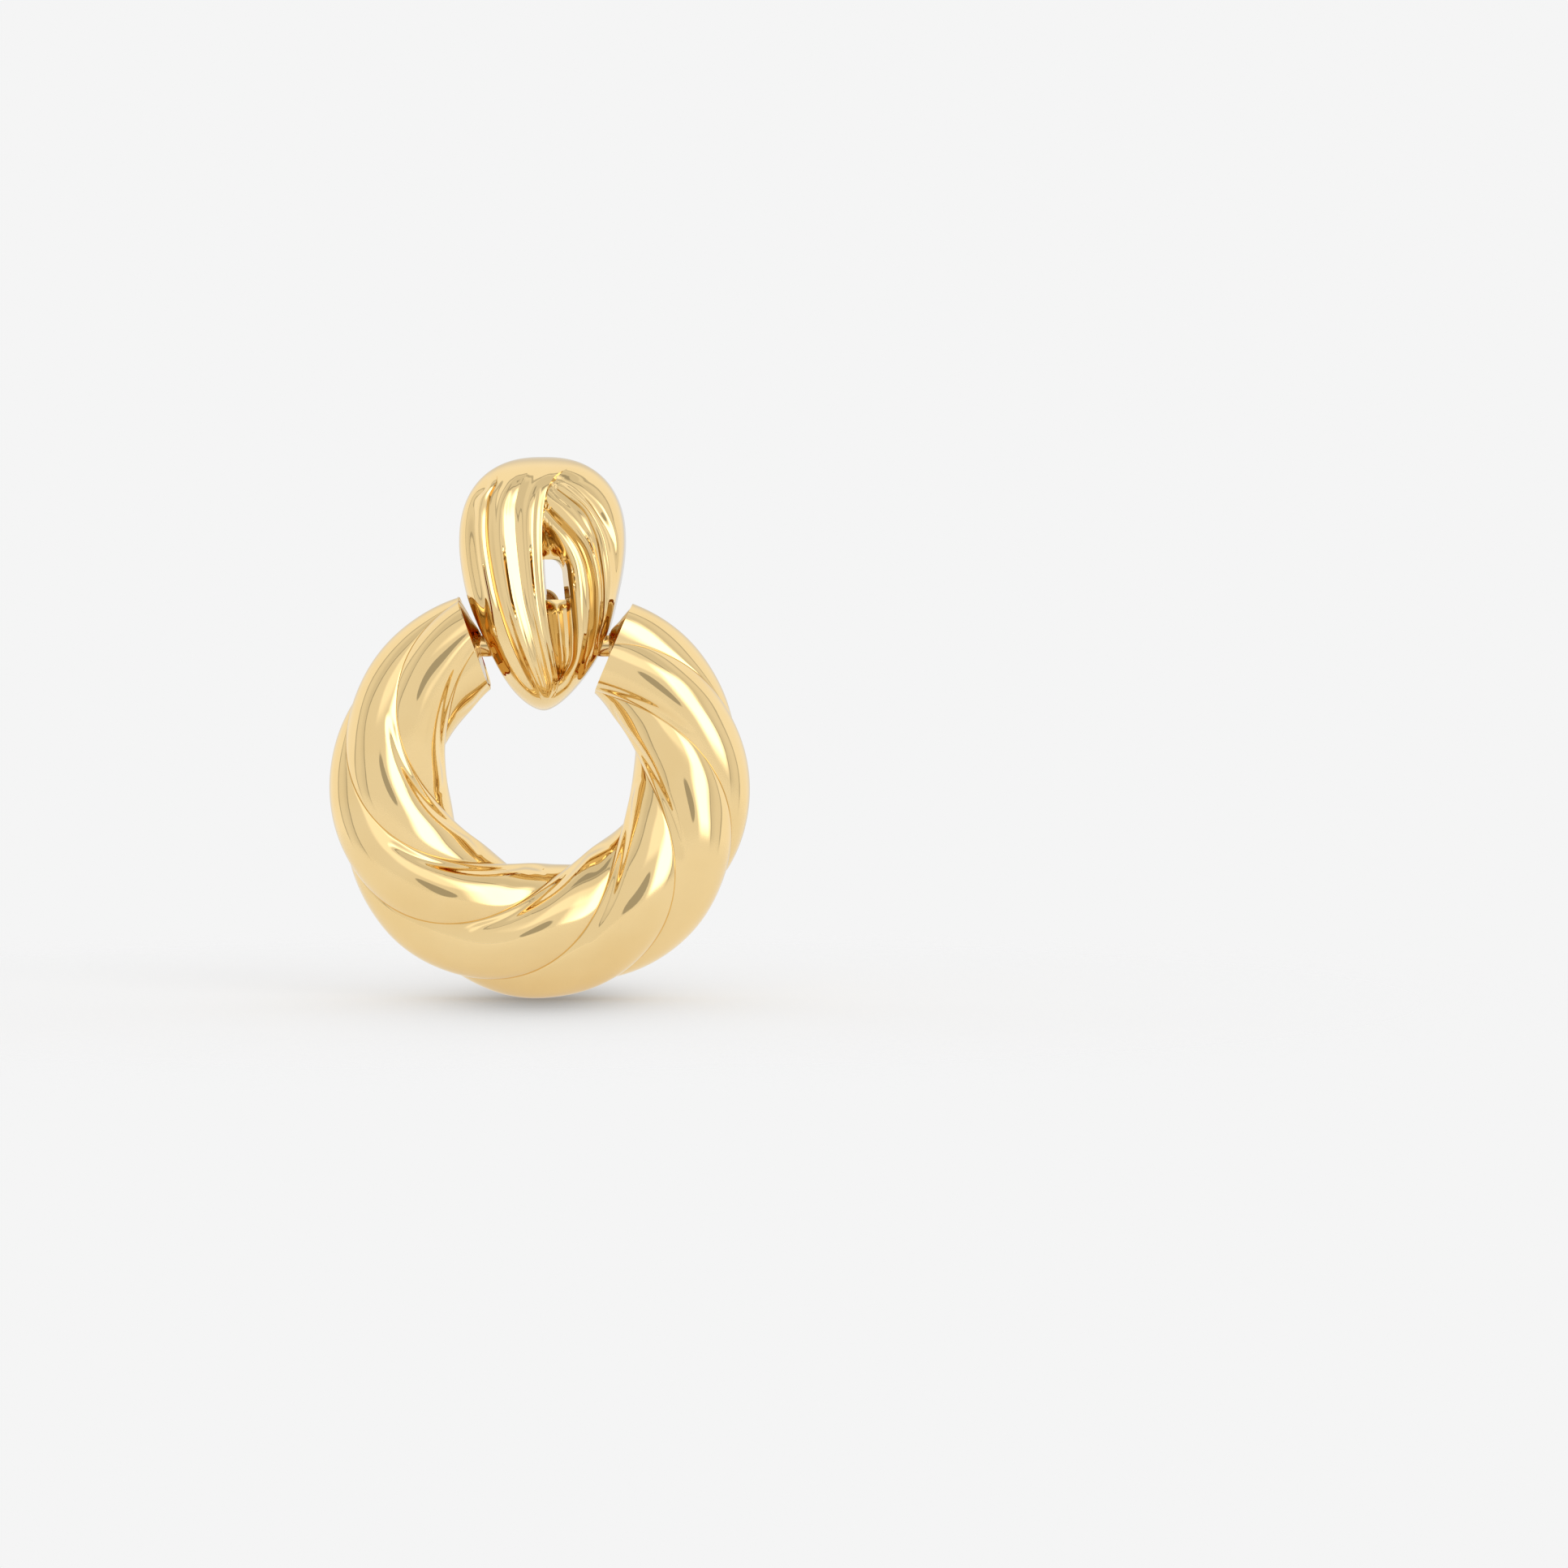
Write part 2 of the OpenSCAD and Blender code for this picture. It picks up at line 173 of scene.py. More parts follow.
def mesh_object(name: str, points: np.ndarray, faces: Sequence[Sequence[int]]) -> bpy.types.Object:
    """Makes a smooth-shaded object whose place is in its mesh.

    Args:
        name: The object's name.
        points: Rows of x, y, z in millimetres.
        faces: Corner numbers of each face, seen anticlockwise from outside.

    Returns:
        The new object, in the scene.
    """
    mesh = bpy.data.meshes.new(name)
    mesh.from_pydata((np.asarray(points, float) * MM).tolist(), [], [tuple(f) for f in faces])
    mesh.validate()
    mesh.shade_smooth()
    mesh.set_sharp_from_angle(angle=SHARP_ANGLE)
    made = bpy.data.objects.new(name, mesh)
    bpy.context.scene.collection.objects.link(made)
    return made


class Body(Enum):
    """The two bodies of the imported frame."""

    STUD = "stud"
    DROP = "drop"


@dataclass(frozen=True)
class GoldFinish:
    """A polished metal finish with faint polishing marks."""

    name: str
    slot: str
    colour: tuple[float, float, float]
    deep_colour: tuple[float, float, float]
    roughness: tuple[float, float] = (0.03, 0.09)
    wave: float = 0.012
    wave_scale: float = 420.0
    tone_scale: float = 160.0
    tone_reach: tuple[float, float] = (0.35, 0.75)
    smudge_scale: float = 300.0
    smudge_reach: tuple[float, float] = (0.45, 0.8)
    mark_scale: tuple[float, float, float] = (9000.0, 9000.0, 700.0)
    mark_turn: tuple[float, float, float] = (0.2, 0.35, 0.0)
    mark_depth: float = 0.0004

    def make(self) -> bpy.types.Material:
        """Builds the material.

        Returns:
            A material that reads Object coordinates only.
        """
        made = bpy.data.materials.new(self.name)
        made.use_nodes = True
        tree = made.node_tree
        shader = next(n for n in tree.nodes if n.type == "BSDF_PRINCIPLED")
        shader.inputs["Metallic"].default_value = 1.0
        place = add(tree, "ShaderNodeTexCoord").outputs["Object"]
        tone = Field.noise(tree, place, self.tone_scale, 3.0)
        mix = add(tree, "ShaderNodeMix")
        mix.data_type = "RGBA"
        mix.inputs["A"].default_value = (*self.colour, 1.0)
        mix.inputs["B"].default_value = (*self.deep_colour, 1.0)
        tree.links.new(tone.ramp(*self.tone_reach).socket, mix.inputs["Factor"])
        tree.links.new(mix.outputs["Result"], shader.inputs["Base Color"])
        smudge = Field.noise(tree, place, self.smudge_scale, 5.0).ramp(*self.smudge_reach)
        low, high = self.roughness
        tree.links.new((low + (high - low) * smudge).socket, shader.inputs["Roughness"])
        turned = {"Vector": place, "Scale": self.mark_scale, "Rotation": self.mark_turn}
        marks = Field.noise(tree, add(tree, "ShaderNodeMapping", turned).outputs["Vector"], 1.0, 2.0)
        waves = Field.noise(tree, place, self.wave_scale, 2.0)
        height = waves * self.wave + marks * self.mark_depth
        bump = add(tree, "ShaderNodeBump", {"Strength": 1.0, "Distance": MM, "Height": height})
        tree.links.new(bump.outputs["Normal"], shader.inputs["Normal"])
        return made

    def ready(self) -> bpy.types.Material:
        """The material, made at its first use."""
        return bpy.data.materials.get(self.name) or self.make()


YELLOW = (0.95, 0.715, 0.36)
DEEP_YELLOW = (0.92, 0.675, 0.32)
STUD_GOLD = GoldFinish("stud_polished_gold", "stud_gold", YELLOW, DEEP_YELLOW)
RING_GOLD = GoldFinish("ring_polished_gold", "ring_gold", YELLOW, DEEP_YELLOW, wave=0.02, wave_scale=230.0)
POST_GOLD = GoldFinish("post_satin_gold", "post_gold", (0.9, 0.68, 0.36), (0.84, 0.62, 0.32), (0.16, 0.28))
PIN_GOLD = GoldFinish("pin_polished_gold", "pin_gold", (0.88, 0.64, 0.31), (0.82, 0.58, 0.28), (0.08, 0.16))


def dress(piece: bpy.types.Object, finish: GoldFinish, body: Body) -> bpy.types.Object:
    """Gives a piece its finish and its body.

    Args:
        piece: An object with its place in its mesh.
        finish: The finish it takes.
        body: The body it moves with.

    Returns:
        The same object.
    """
    piece.data.materials.clear()
    piece.data.materials.append(finish.ready())
    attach(piece, body.value)
    return piece


@dataclass(frozen=True)
class StudShape:
    """Outline and depth of the stud, shared by its shell and what is soldered in it."""

    half_width: float = 5.8
    rise: float = 10.4
    drop: float = 7.5
    wide_z: float = 4.3
    depth: float = 7.0
    side_wall: float = 0.8
    front_wall: float = 0.9
    top_power: float = 2.35
    leaf_power: float = 1.66
    leaf_sharp: float = 0.62
    lean: float = 0.2
    lean_at: float = 0.62
    lean_reach: float = 0.35
    deepest_z: float = 1.5
    depth_power: float = 2.5
    front_power: float = 2.4
    side_share: float = 0.5

    def half(self, z: np.ndarray) -> np.ndarray:
        """Half the stud's width at heights z."""
        up = np.clip((z - self.wide_z) / (self.rise - self.wide_z), 0, 1)
        down = np.clip((self.wide_z - z) / (self.wide_z + self.drop), 0, 1)
        upper = (1 - up**self.top_power) ** (1 / self.top_power)
        lower = (1 - down**self.leaf_power) ** self.leaf_sharp
        return self.half_width * np.where(z >= self.wide_z, upper, lower)

    def middle(self, z: np.ndarray) -> np.ndarray:
        """Sideways place of the middle line at heights z."""
        down = np.clip((self.wide_z - z) / (self.wide_z + self.drop), 0, 1)
        return self.lean * (1 + np.cos(np.pi * np.clip((down - self.lean_at) / self.lean_reach, -1, 1))) / 2

    def front(self, z: np.ndarray) -> np.ndarray:
        """Depth of the smooth front at heights z."""
        reach = np.where(z > self.deepest_z, self.rise - self.deepest_z, self.deepest_z + self.drop)
        t = np.clip(np.abs(z - self.deepest_z) / reach, 0, 1)
        return self.depth * (1 - t**self.depth_power) ** (1 / self.depth_power)

    def surface(self, rho: np.ndarray, depth: np.ndarray) -> np.ndarray:
        """Place in Y of the smooth front at a share rho of the half width."""
        bulge = np.clip(1 - np.abs(rho) ** self.front_power, 0, 1) ** (1 / self.front_power)
        return -depth * (self.side_share + (1 - self.side_share) * bulge)

    def wall_x(self, z: np.ndarray, side: int) -> np.ndarray:
        """Sideways place halfway through the side wall, on side -1 or 1."""
        return self.middle(z) + side * self.half(z) * (1 - self.side_wall / 2 / self.half_width)


@dataclass(frozen=True)
class Fold:
    """One rounded fold between two lines of the stud.

    Its slit is a share of the fold's width, with the lowest and the highest place in Z.
    Its fine lines are shares of the width too.
    """

    left: Line
    right: Line
    crest: float
    depth: float
    roundness: float = 0.8
    columns: int = 18
    slit: tuple[float, float, float] | None = None
    lines: tuple[float, ...] = ()
    line_depth: float = 0.06
    line_half: float = 0.1
    slit_depth: float = 0.24
    slit_half: float = 0.05
    slit_clear: float = 1.2
    slit_fade: float = 1.6
    crowd: float = 0.5

    def shares(self) -> np.ndarray:
        """Shares of the fold's width that its columns stand at, denser at its grooves and its slit."""
        t = np.arange(self.columns) / self.columns
        t = t - self.crowd * np.sin(TURN * t) / TURN
        if self.slit:
            at = self.slit[0]
            near = at + self.slit_half * np.array([-1.0, -0.5, 0.0, 0.5, 1.0])
            t = np.sort(np.concatenate([t[np.abs(t - at) > self.slit_half * self.slit_clear], near]))
        return t

    def relief(self, share: np.ndarray, z: np.ndarray) -> np.ndarray:
        """How far the fold lies below its crest.

        Args:
            share: Shares of the fold's width.
            z: Heights.

        Returns:
            Depths in millimetres, with the fold's fine lines and its slit.
        """
        bent = np.clip(share, 0, 1) ** (math.log(0.5) / math.log(self.crest))
        deep = self.depth * (1 - np.clip(np.sin(np.pi * bent), 0, 1) ** self.roundness)
        for at in self.lines:
            deep = deep + self.line_depth * np.exp(-(((share - at) / self.line_half) ** 2))
        if self.slit:
            at, low, high = self.slit
            window = step(z, low, low + self.slit_fade) * (1 - step(z, high - self.slit_fade, high))
            deep = deep + self.slit_depth * np.clip(1 - np.abs(share - at) / self.slit_half, 0, 1) * window
        return deep


LOBE_EDGE: Line = ((-7.2, 0.2), (-6.3, 0.8), (-5.4, 1.15), (-4.4, 1.05), (-1.4, 0.55), (0.8, 0.3),
                   (3.1, 0.15), (5.9, 0.15), (7.1, 0.25), (8.3, 0.55), (9.1, 1.1), (9.8, 2.3), (10.1, 2.8))
MARGIN: Line = ((-7.2, -0.6), (-5.2, -2.3), (-2.0, -3.8), (0.3, -3.9), (2.0, -4.2), (3.7, -4.45), (6.0, -4.6),
                (7.4, -4.5), (8.3, -3.8))
GROOVE_1: Line = ((-7.0, 0.1), (-6.0, -0.5), (-4.3, -1.35), (-2.3, -2.2), (-0.6, -2.75), (0.85, -3.15),
                  (2.6, -3.5), (4.3, -3.75), (6.0, -3.8), (7.7, -3.6), (8.8, -3.1))
GROOVE_2: Line = ((-6.3, 0.35), (-4.3, -0.05), (-2.0, -0.6), (0.3, -1.15), (2.0, -1.4), (3.7, -1.6),
                  (5.4, -1.75), (7.1, -1.75), (8.5, -1.35), (9.8, -0.7))
SLOT_EDGE: Line = ((-6.0, 0.9), (-5.1, 1.5), (-4.0, 2.15), (-2.6, 2.3), (-0.3, 2.2), (1.7, 2.0), (3.0, 1.8),
                   (4.2, 1.2), (5.1, 0.65), (6.2, -0.4))
INNER_VALLEY: Line = ((-4.6, 3.05), (-2.9, 3.55), (-1.7, 3.8), (-0.3, 3.85), (1.4, 3.8), (2.9, 3.5),
                      (4.2, 2.95), (5.4, 1.95), (6.7, 0.65), (7.6, -0.4))
OUTER_LINE: Line = ((-2.6, 3.95), (-0.9, 4.35), (0.9, 4.45), (3.1, 4.25), (5.3, 3.7), (7.0, 2.6), (7.6, 1.8),
                    (8.3, 0.8), (9.0, -0.4))
RIM_LINE: Line = ((-2.3, 4.2), (-0.3, 4.9), (1.4, 5.2), (3.7, 5.05), (5.1, 4.65), (6.1, 4.1), (7.6, 2.95),
                  (8.3, 2.1), (8.7, 1.25), (9.4, -0.4))


def line_at(line: Line, z: np.ndarray) -> np.ndarray:
    """Sideways place of a line at heights z: a smooth curve through its points, held at its ends."""
    at, x = np.array(line).T
    slope = np.gradient(x, at)
    slope[0] = slope[-1] = 0.0
    kept = np.clip(z, at[0], at[-1])
    i = np.clip(np.searchsorted(at, kept, side="right") - 1, 0, len(at) - 2)
    run = at[i + 1] - at[i]
    t = (kept - at[i]) / run
    bend = t * t * (3 - 2 * t)
    start, end = t * (1 - t) ** 2, t * t * (t - 1)
    return x[i] * (1 - bend) + x[i + 1] * bend + run * (slope[i] * start + slope[i + 1] * end)


def step(value: np.ndarray, low: float, high: float) -> np.ndarray:
    """A smooth step from 0 at low to 1 at high."""
    t = np.clip((value - low) / (high - low), 0, 1)
    return t * t * (3 - 2 * t)


@dataclass
class StudShell:
    """The teardrop stud: two wrapped lobes of folds, a slot between them and an open back.

    Its rows of points are counted at the top, the neck above the slot, the slot and the tip.
    Pairs named low or high are the places in Z where something fades in or out.
    """

    shape: StudShape = field(default_factory=StudShape)
    lobe_step: float = 0.5
    step_low: tuple[float, float] = (-6.6, -5.1)
    step_high: tuple[float, float] = (8.6, 9.7)
    fold_low: tuple[float, float] = (-7.0, -4.6)
    fold_high: tuple[float, float] = (7.0, 9.9)
    margin_run: float = 0.9
    rim_run: float = 0.7
    rim_blend: float = 0.12
    recess: float = 1.2
    recess_lip: float = 0.35
    valley_low: float = 0.45
    valley_deep: float = 0.75
    valley_skew: float = 0.8
    ripple: float = 0.1
    ripples: int = 5
    slot_floor: float = 1.15
    slot_top: float = 3.15
    slot_bottom: float = 0.35
    slot_arch: float = 1.0
    slot_dip: float = 0.35
    slot_blend: tuple[float, float] = (0.9, 1.0)
    slot_range: float = 0.76
    edge_range: tuple[float, float] = (-0.3, 0.62)
    edge_gap: float = 0.1
    lip_range: float = 0.82
    lip_gap: float = 0.25
    least_col: float = 0.15
    least_fold: float = 0.05
    least_lobe: float = 0.5
    least_slot: float = 0.1
    line_gap: float = 0.12
    arch_share: float = 0.45
    inner_keep: float = 0.5
    inner_lead: tuple[float, float] = (-1.2, -0.5)
    inner_blend: float = 0.15
    end_walls: tuple[float, float] = (1.0, 1.5)
    end_power: int = 4
    tip_crowd: float = 1.5
    rows: tuple[int, int, int, int] = (52, 12, 56, 64)
    wall_columns: int = 7
    slot_columns: int = 10
    lip_columns: int = 7
    rim_columns: int = 22
    left_folds: tuple[Fold, ...] = (
        Fold(MARGIN, GROOVE_1, 0.46, 0.24, 1.4, 16, (0.46, -2.3, 3.2)),
        Fold(GROOVE_1, GROOVE_2, 0.55, 0.42, 1.3, 30, (0.57, -1.3, 4.4), (0.3, 0.76)),
        Fold(GROOVE_2, LOBE_EDGE, 0.56, 0.4, 1.3, 28, (0.56, 0.3, 4.3), (0.3, 0.78)),
    )
    right_folds: tuple[Fold, ...] = (
        Fold(SLOT_EDGE, INNER_VALLEY, 0.42, 0.5, 1.3, 28, (0.2, 0.7, 3.0), (0.55, 0.8)),
        Fold(INNER_VALLEY, OUTER_LINE, 0.4, 0.36, 1.3, 24, (0.48, 3.1, 5.2), (0.22, 0.72)),
        Fold(OUTER_LINE, RIM_LINE, 0.5, 0.26, 1.3, 22, None, (0.3, 0.7)),
    )

    def heights(self) -> np.ndarray:
        """Heights of the rows, from the top to the tip."""
        top, neck, slot, tip = self.rows
        s = self.shape
        arc = np.maximum(np.cos(np.pi / 2 * np.arange(1, top + 1) / top), 0) ** (2 / s.top_power)
        upper = s.wide_z + (s.rise - s.wide_z) * arc
        middle = s.wide_z - (s.wide_z - self.slot_top) * np.arange(1, neck + 1) / neck
        lower = self.slot_top - (self.slot_top - self.slot_bottom) * np.arange(1, slot + 1) / slot
        last = 1 - (1 - np.arange(1, tip) / tip) ** self.tip_crowd
        return np.concatenate([upper, middle, lower, self.slot_bottom - (self.slot_bottom + s.drop) * last])

    def fade(self, z: np.ndarray) -> np.ndarray:
        """Strength of the folds by height: none at the top and the tip."""
        return step(z, *self.fold_low) * (1 - step(z, *self.fold_high))

    def step_amount(self, z: np.ndarray) -> np.ndarray:
        """Height of the left lobe's edge above the right lobe."""
        return self.lobe_step * (1 - step(z, *self.step_high)) * step(z, *self.step_low)

    def row_lines(self, z: float) -> list[float]:
        """Sideways places that the columns of one row pass through, from left to right."""
        s, at = self.shape, np.array(z)
        w, m = float(s.half(at)), float(s.middle(at))
        unit = min(1.0, w / 2)
        edge_low, edge_high = self.edge_range
        edge = float(np.clip(line_at(LOBE_EDGE, at), m + edge_low * w, m + edge_high * w))
        lip = float(line_at(SLOT_EDGE, at))
        full = lip - self.lip_gap - edge - self.edge_gap
        rise = float(np.clip((z - self.slot_top + self.slot_arch) / self.slot_arch, 0, 1))
        arch = self.arch_share + (1 - self.arch_share) * math.sqrt(1 - rise * rise)
        least, gap = self.least_col * unit, self.line_gap * unit
        start = edge + self.edge_gap * unit
        end = max(start + least, min(edge + self.edge_gap + full * arch, m + self.slot_range * w))
        lip = max(end + least, min(lip, m + self.lip_range * w))
        left = [m - w] + [float(line_at(f.left, at)) for f in self.left_folds]
        right = [lip] + [float(line_at(f.right, at)) for f in self.right_folds]
        left, right = self.spaced(left, gap, edge), self.spaced(right, gap, m + w)
        return left + [edge, start, end] + right + [m + w]

    @staticmethod
    def spaced(places: list[float], gap: float, limit: float) -> list[float]:
        """Places after the first, moved where they aren't in order, a gap apart and short of a limit."""
        for i in range(1, len(places)):
            places[i] = float(np.clip(places[i], places[i - 1] + gap, limit - gap * (len(places) - i)))
        return places

    def row_places(self, z: float) -> np.ndarray:
        """Sideways places of one row's points on the front."""
        lines = self.row_lines(z)
        out = [lines[i] + (lines[i + 1] - lines[i]) * t for i, t in enumerate(self.stretches())]
        return np.append(np.concatenate(out), lines[-1])

    def stretches(self) -> list[np.ndarray]:
        """Shares that the columns stand at between each two lines of a row."""
        rim = np.arange(self.rim_columns) / self.rim_columns
        plain = [np.arange(n) / n for n in (1, self.slot_columns, self.lip_columns)]
        left = [1 - np.cos(np.pi / 2 * rim)] + [f.shares() for f in self.left_folds]
        return left + plain + [f.shares() for f in self.right_folds] + [np.sin(np.pi / 2 * rim)]

    def left_columns(self) -> int:
        """Columns on the front up to the left lobe's edge."""
        return sum(len(t) for t in self.stretches()[: 1 + len(self.left_folds)])

    def relief(self, x: np.ndarray, z: np.ndarray, left: np.ndarray) -> np.ndarray:
        """How far the outer surface lies behind the smooth front.

        Args:
            x: Sideways places.
            z: Heights.
            left: True where a point is on the left lobe.

        Returns:
            Depths in millimetres, positive to the back.
        """
        s = self.shape
        folds = np.zeros_like(x)
        for fold in self.left_folds + self.right_folds:
            a, b = line_at(fold.left, z), line_at(fold.right, z)
            mine = (x >= a - TINY) & (x <= b + TINY) & (left == (fold in self.left_folds))
            share = (x - a) / np.maximum(b - a, self.least_fold)
            folds = np.maximum(folds, np.where(mine, fold.relief(share, z), 0))
        first = line_at(MARGIN, z)
        edge_of_margin = self.left_folds[0].depth * (1 - step(first - x, 0, self.margin_run))
        folds = np.maximum(folds, np.where(left & (x < first), edge_of_margin, 0))
        rim = line_at(RIM_LINE, z)
        edge_of_rim = self.right_folds[-1].depth * (1 - step(x - rim, 0, self.rim_run))
        folds = np.maximum(folds, np.where(~left & (x > rim), edge_of_rim, 0))
        base = np.where(left, 0, self.base(x, z, 0.0))
        rho = (x - s.middle(z)) / s.half(z)
        return (base + folds * self.fade(z)) * step(1 - np.abs(rho), 0, self.rim_blend)

    def base(self, x: np.ndarray, z: np.ndarray, keep: float) -> np.ndarray:
        """The right lobe's step below the left one, with the recess between them."""
        s = self.shape
        edge, lip = line_at(LOBE_EDGE, z), line_at(SLOT_EDGE, z) + keep
        right = np.maximum(s.middle(z) + s.half(z), edge + self.least_lobe)
        lowered = self.step_amount(z) * (1 - step((x - edge) / (right - edge), 0, 1))
        share = np.clip((x - edge) / np.maximum(lip - edge, self.least_slot), 0, 1)
        below, above = self.slot_blend
        near = step(z, self.slot_bottom - below, self.slot_bottom)
        near = near * (1 - step(z, self.slot_top, self.slot_top + above))
        valley = self.valley_low + self.valley_deep * np.sin(np.pi * share**self.valley_skew)
        valley = valley + self.ripple * np.cos(self.ripples * np.pi * share) * (1 - near)
        deep = self.recess * (1 + self.slot_dip * near) * (valley + (self.slot_floor - valley) * near)
        sunk = (deep - self.step_amount(z)) * step((lip - x) / self.recess_lip, 0, 1)
        return lowered + sunk * step((lip - edge) / self.recess_lip, 0, 1) * step(z, *self.step_low)

    def inner_relief(self, x: np.ndarray, z: np.ndarray) -> np.ndarray:
        """How far the inner surface lies behind its smooth form."""
        edge = line_at(LOBE_EDGE, z)
        return self.base(np.maximum(x, edge), z, self.inner_keep) * step(x - edge, *self.inner_lead)

    def grid(self, inner: bool) -> np.ndarray:
        """Points of the outer or the inner surface, as rows of columns."""
        s = self.shape
        rows = []
        slim = 1 - s.side_wall / s.half_width if inner else 1.0
        for height in self.heights():
            z = np.full(1, height)
            w, m = s.half(z), s.middle(z)
            depth = s.front(z) * (1 - s.front_wall / s.depth if inner else 1.0)
            x = self.row_places(float(height))
            zs = np.full_like(x, height)
            left = np.arange(len(x)) <= self.left_columns()
            y = s.surface((x - m) / w, depth)
            near_rim = step(1 - np.abs((x - m) / w), 0, self.inner_blend)
            y = y + (self.inner_relief(x, zs) * near_rim if inner else self.relief(x, zs, left))
            level = self.inner_height(height) if inner else height
            front = np.stack([m + (x - m) * slim, y, np.full_like(x, level)], 1)
            wall = np.arange(self.wall_columns) / self.wall_columns
            back = -depth * s.side_share * wall
            side = np.stack([np.zeros_like(wall), back, np.full_like(wall, level)], 1)
            lefts, rights = side.copy(), side[::-1].copy()
            lefts[:, 0] = m - w * slim
            rights[:, 0] = m + w * slim
            rows.append(np.concatenate([lefts, front, rights]))
        return np.array(rows)

    def inner_height(self, z: float) -> float:
        """Height of an inner row, short of the outer top and tip."""
        s = self.shape
        up = z > s.wide_z
        length = s.rise - s.wide_z if up else s.wide_z + s.drop
        loss = self.end_walls[0 if up else 1] * s.side_wall / length
        return s.wide_z + (z - s.wide_z) * (1 - loss * (abs(z - s.wide_z) / length) ** self.end_power)

    def build(self) -> bpy.types.Object:
        """Builds the closed shell.

        Returns:
            The object, outer and inner surface joined round the back rim and the slot.
        """
        s = self.shape
        outer, inner = self.grid(False), self.grid(True)
        n, k = outer.shape[:2]
        first = self.rows[0] + self.rows[1] - 1
        last = first + self.rows[2]
        left = self.wall_columns + self.left_columns() + 1
        right = left + self.slot_columns
        m = n * k
        ends = np.array([[0, 0, s.rise], [0, 0, -s.drop], [0, 0, self.inner_height(s.rise)],
                         [0, 0, self.inner_height(-s.drop)]])
        points = np.concatenate([outer.reshape(-1, 3), inner.reshape(-1, 3), ends])
        faces: list[tuple[int, ...]] = []
        for i in range(n - 1):
            for j in range(k - 1):
                if not (first <= i < last and left <= j < right):
                    a = i * k + j
                    faces.append((a, a + k, a + k + 1, a + 1))
                    faces.append((a + m, a + m + 1, a + m + k + 1, a + m + k))
        pole, low = 2 * m, (n - 1) * k
        for j in range(k - 1):
            faces += [(pole, j, j + 1), (pole + 2, m + j + 1, m + j)]
            faces += [(pole + 1, low + j + 1, low + j), (pole + 3, m + low + j, m + low + j + 1)]
        for i in range(n - 1):
            a, c = i * k, i * k + k - 1
            faces += [(a, a + m, a + k + m, a + k), (c, c + k, c + k + m, c + m)]
        faces += [(pole, m, 0), (pole, pole + 2, m)]
        faces += [(pole, k - 1, m + k - 1), (pole, m + k - 1, pole + 2)]
        faces += [(pole + 1, low, m + low), (pole + 1, m + low, pole + 3)]
        faces += [(pole + 1, m + low + k - 1, low + k - 1), (pole + 1, pole + 3, m + low + k - 1)]
        for i in range(first, last):
            a, c = i * k + left, i * k + right
            faces += [(a, a + k, a + k + m, a + m), (c, c + m, c + k + m, c + k)]
        for j in range(left, right):
            a, c = first * k + j, last * k + j
            faces += [(a, a + m, a + m + 1, a + 1), (c, c + 1, c + m + 1, c + m)]
        made = mesh_object("stud_folds", points, faces)
        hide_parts("stud_shell")
        return dress(made, STUD_GOLD, Body.STUD)


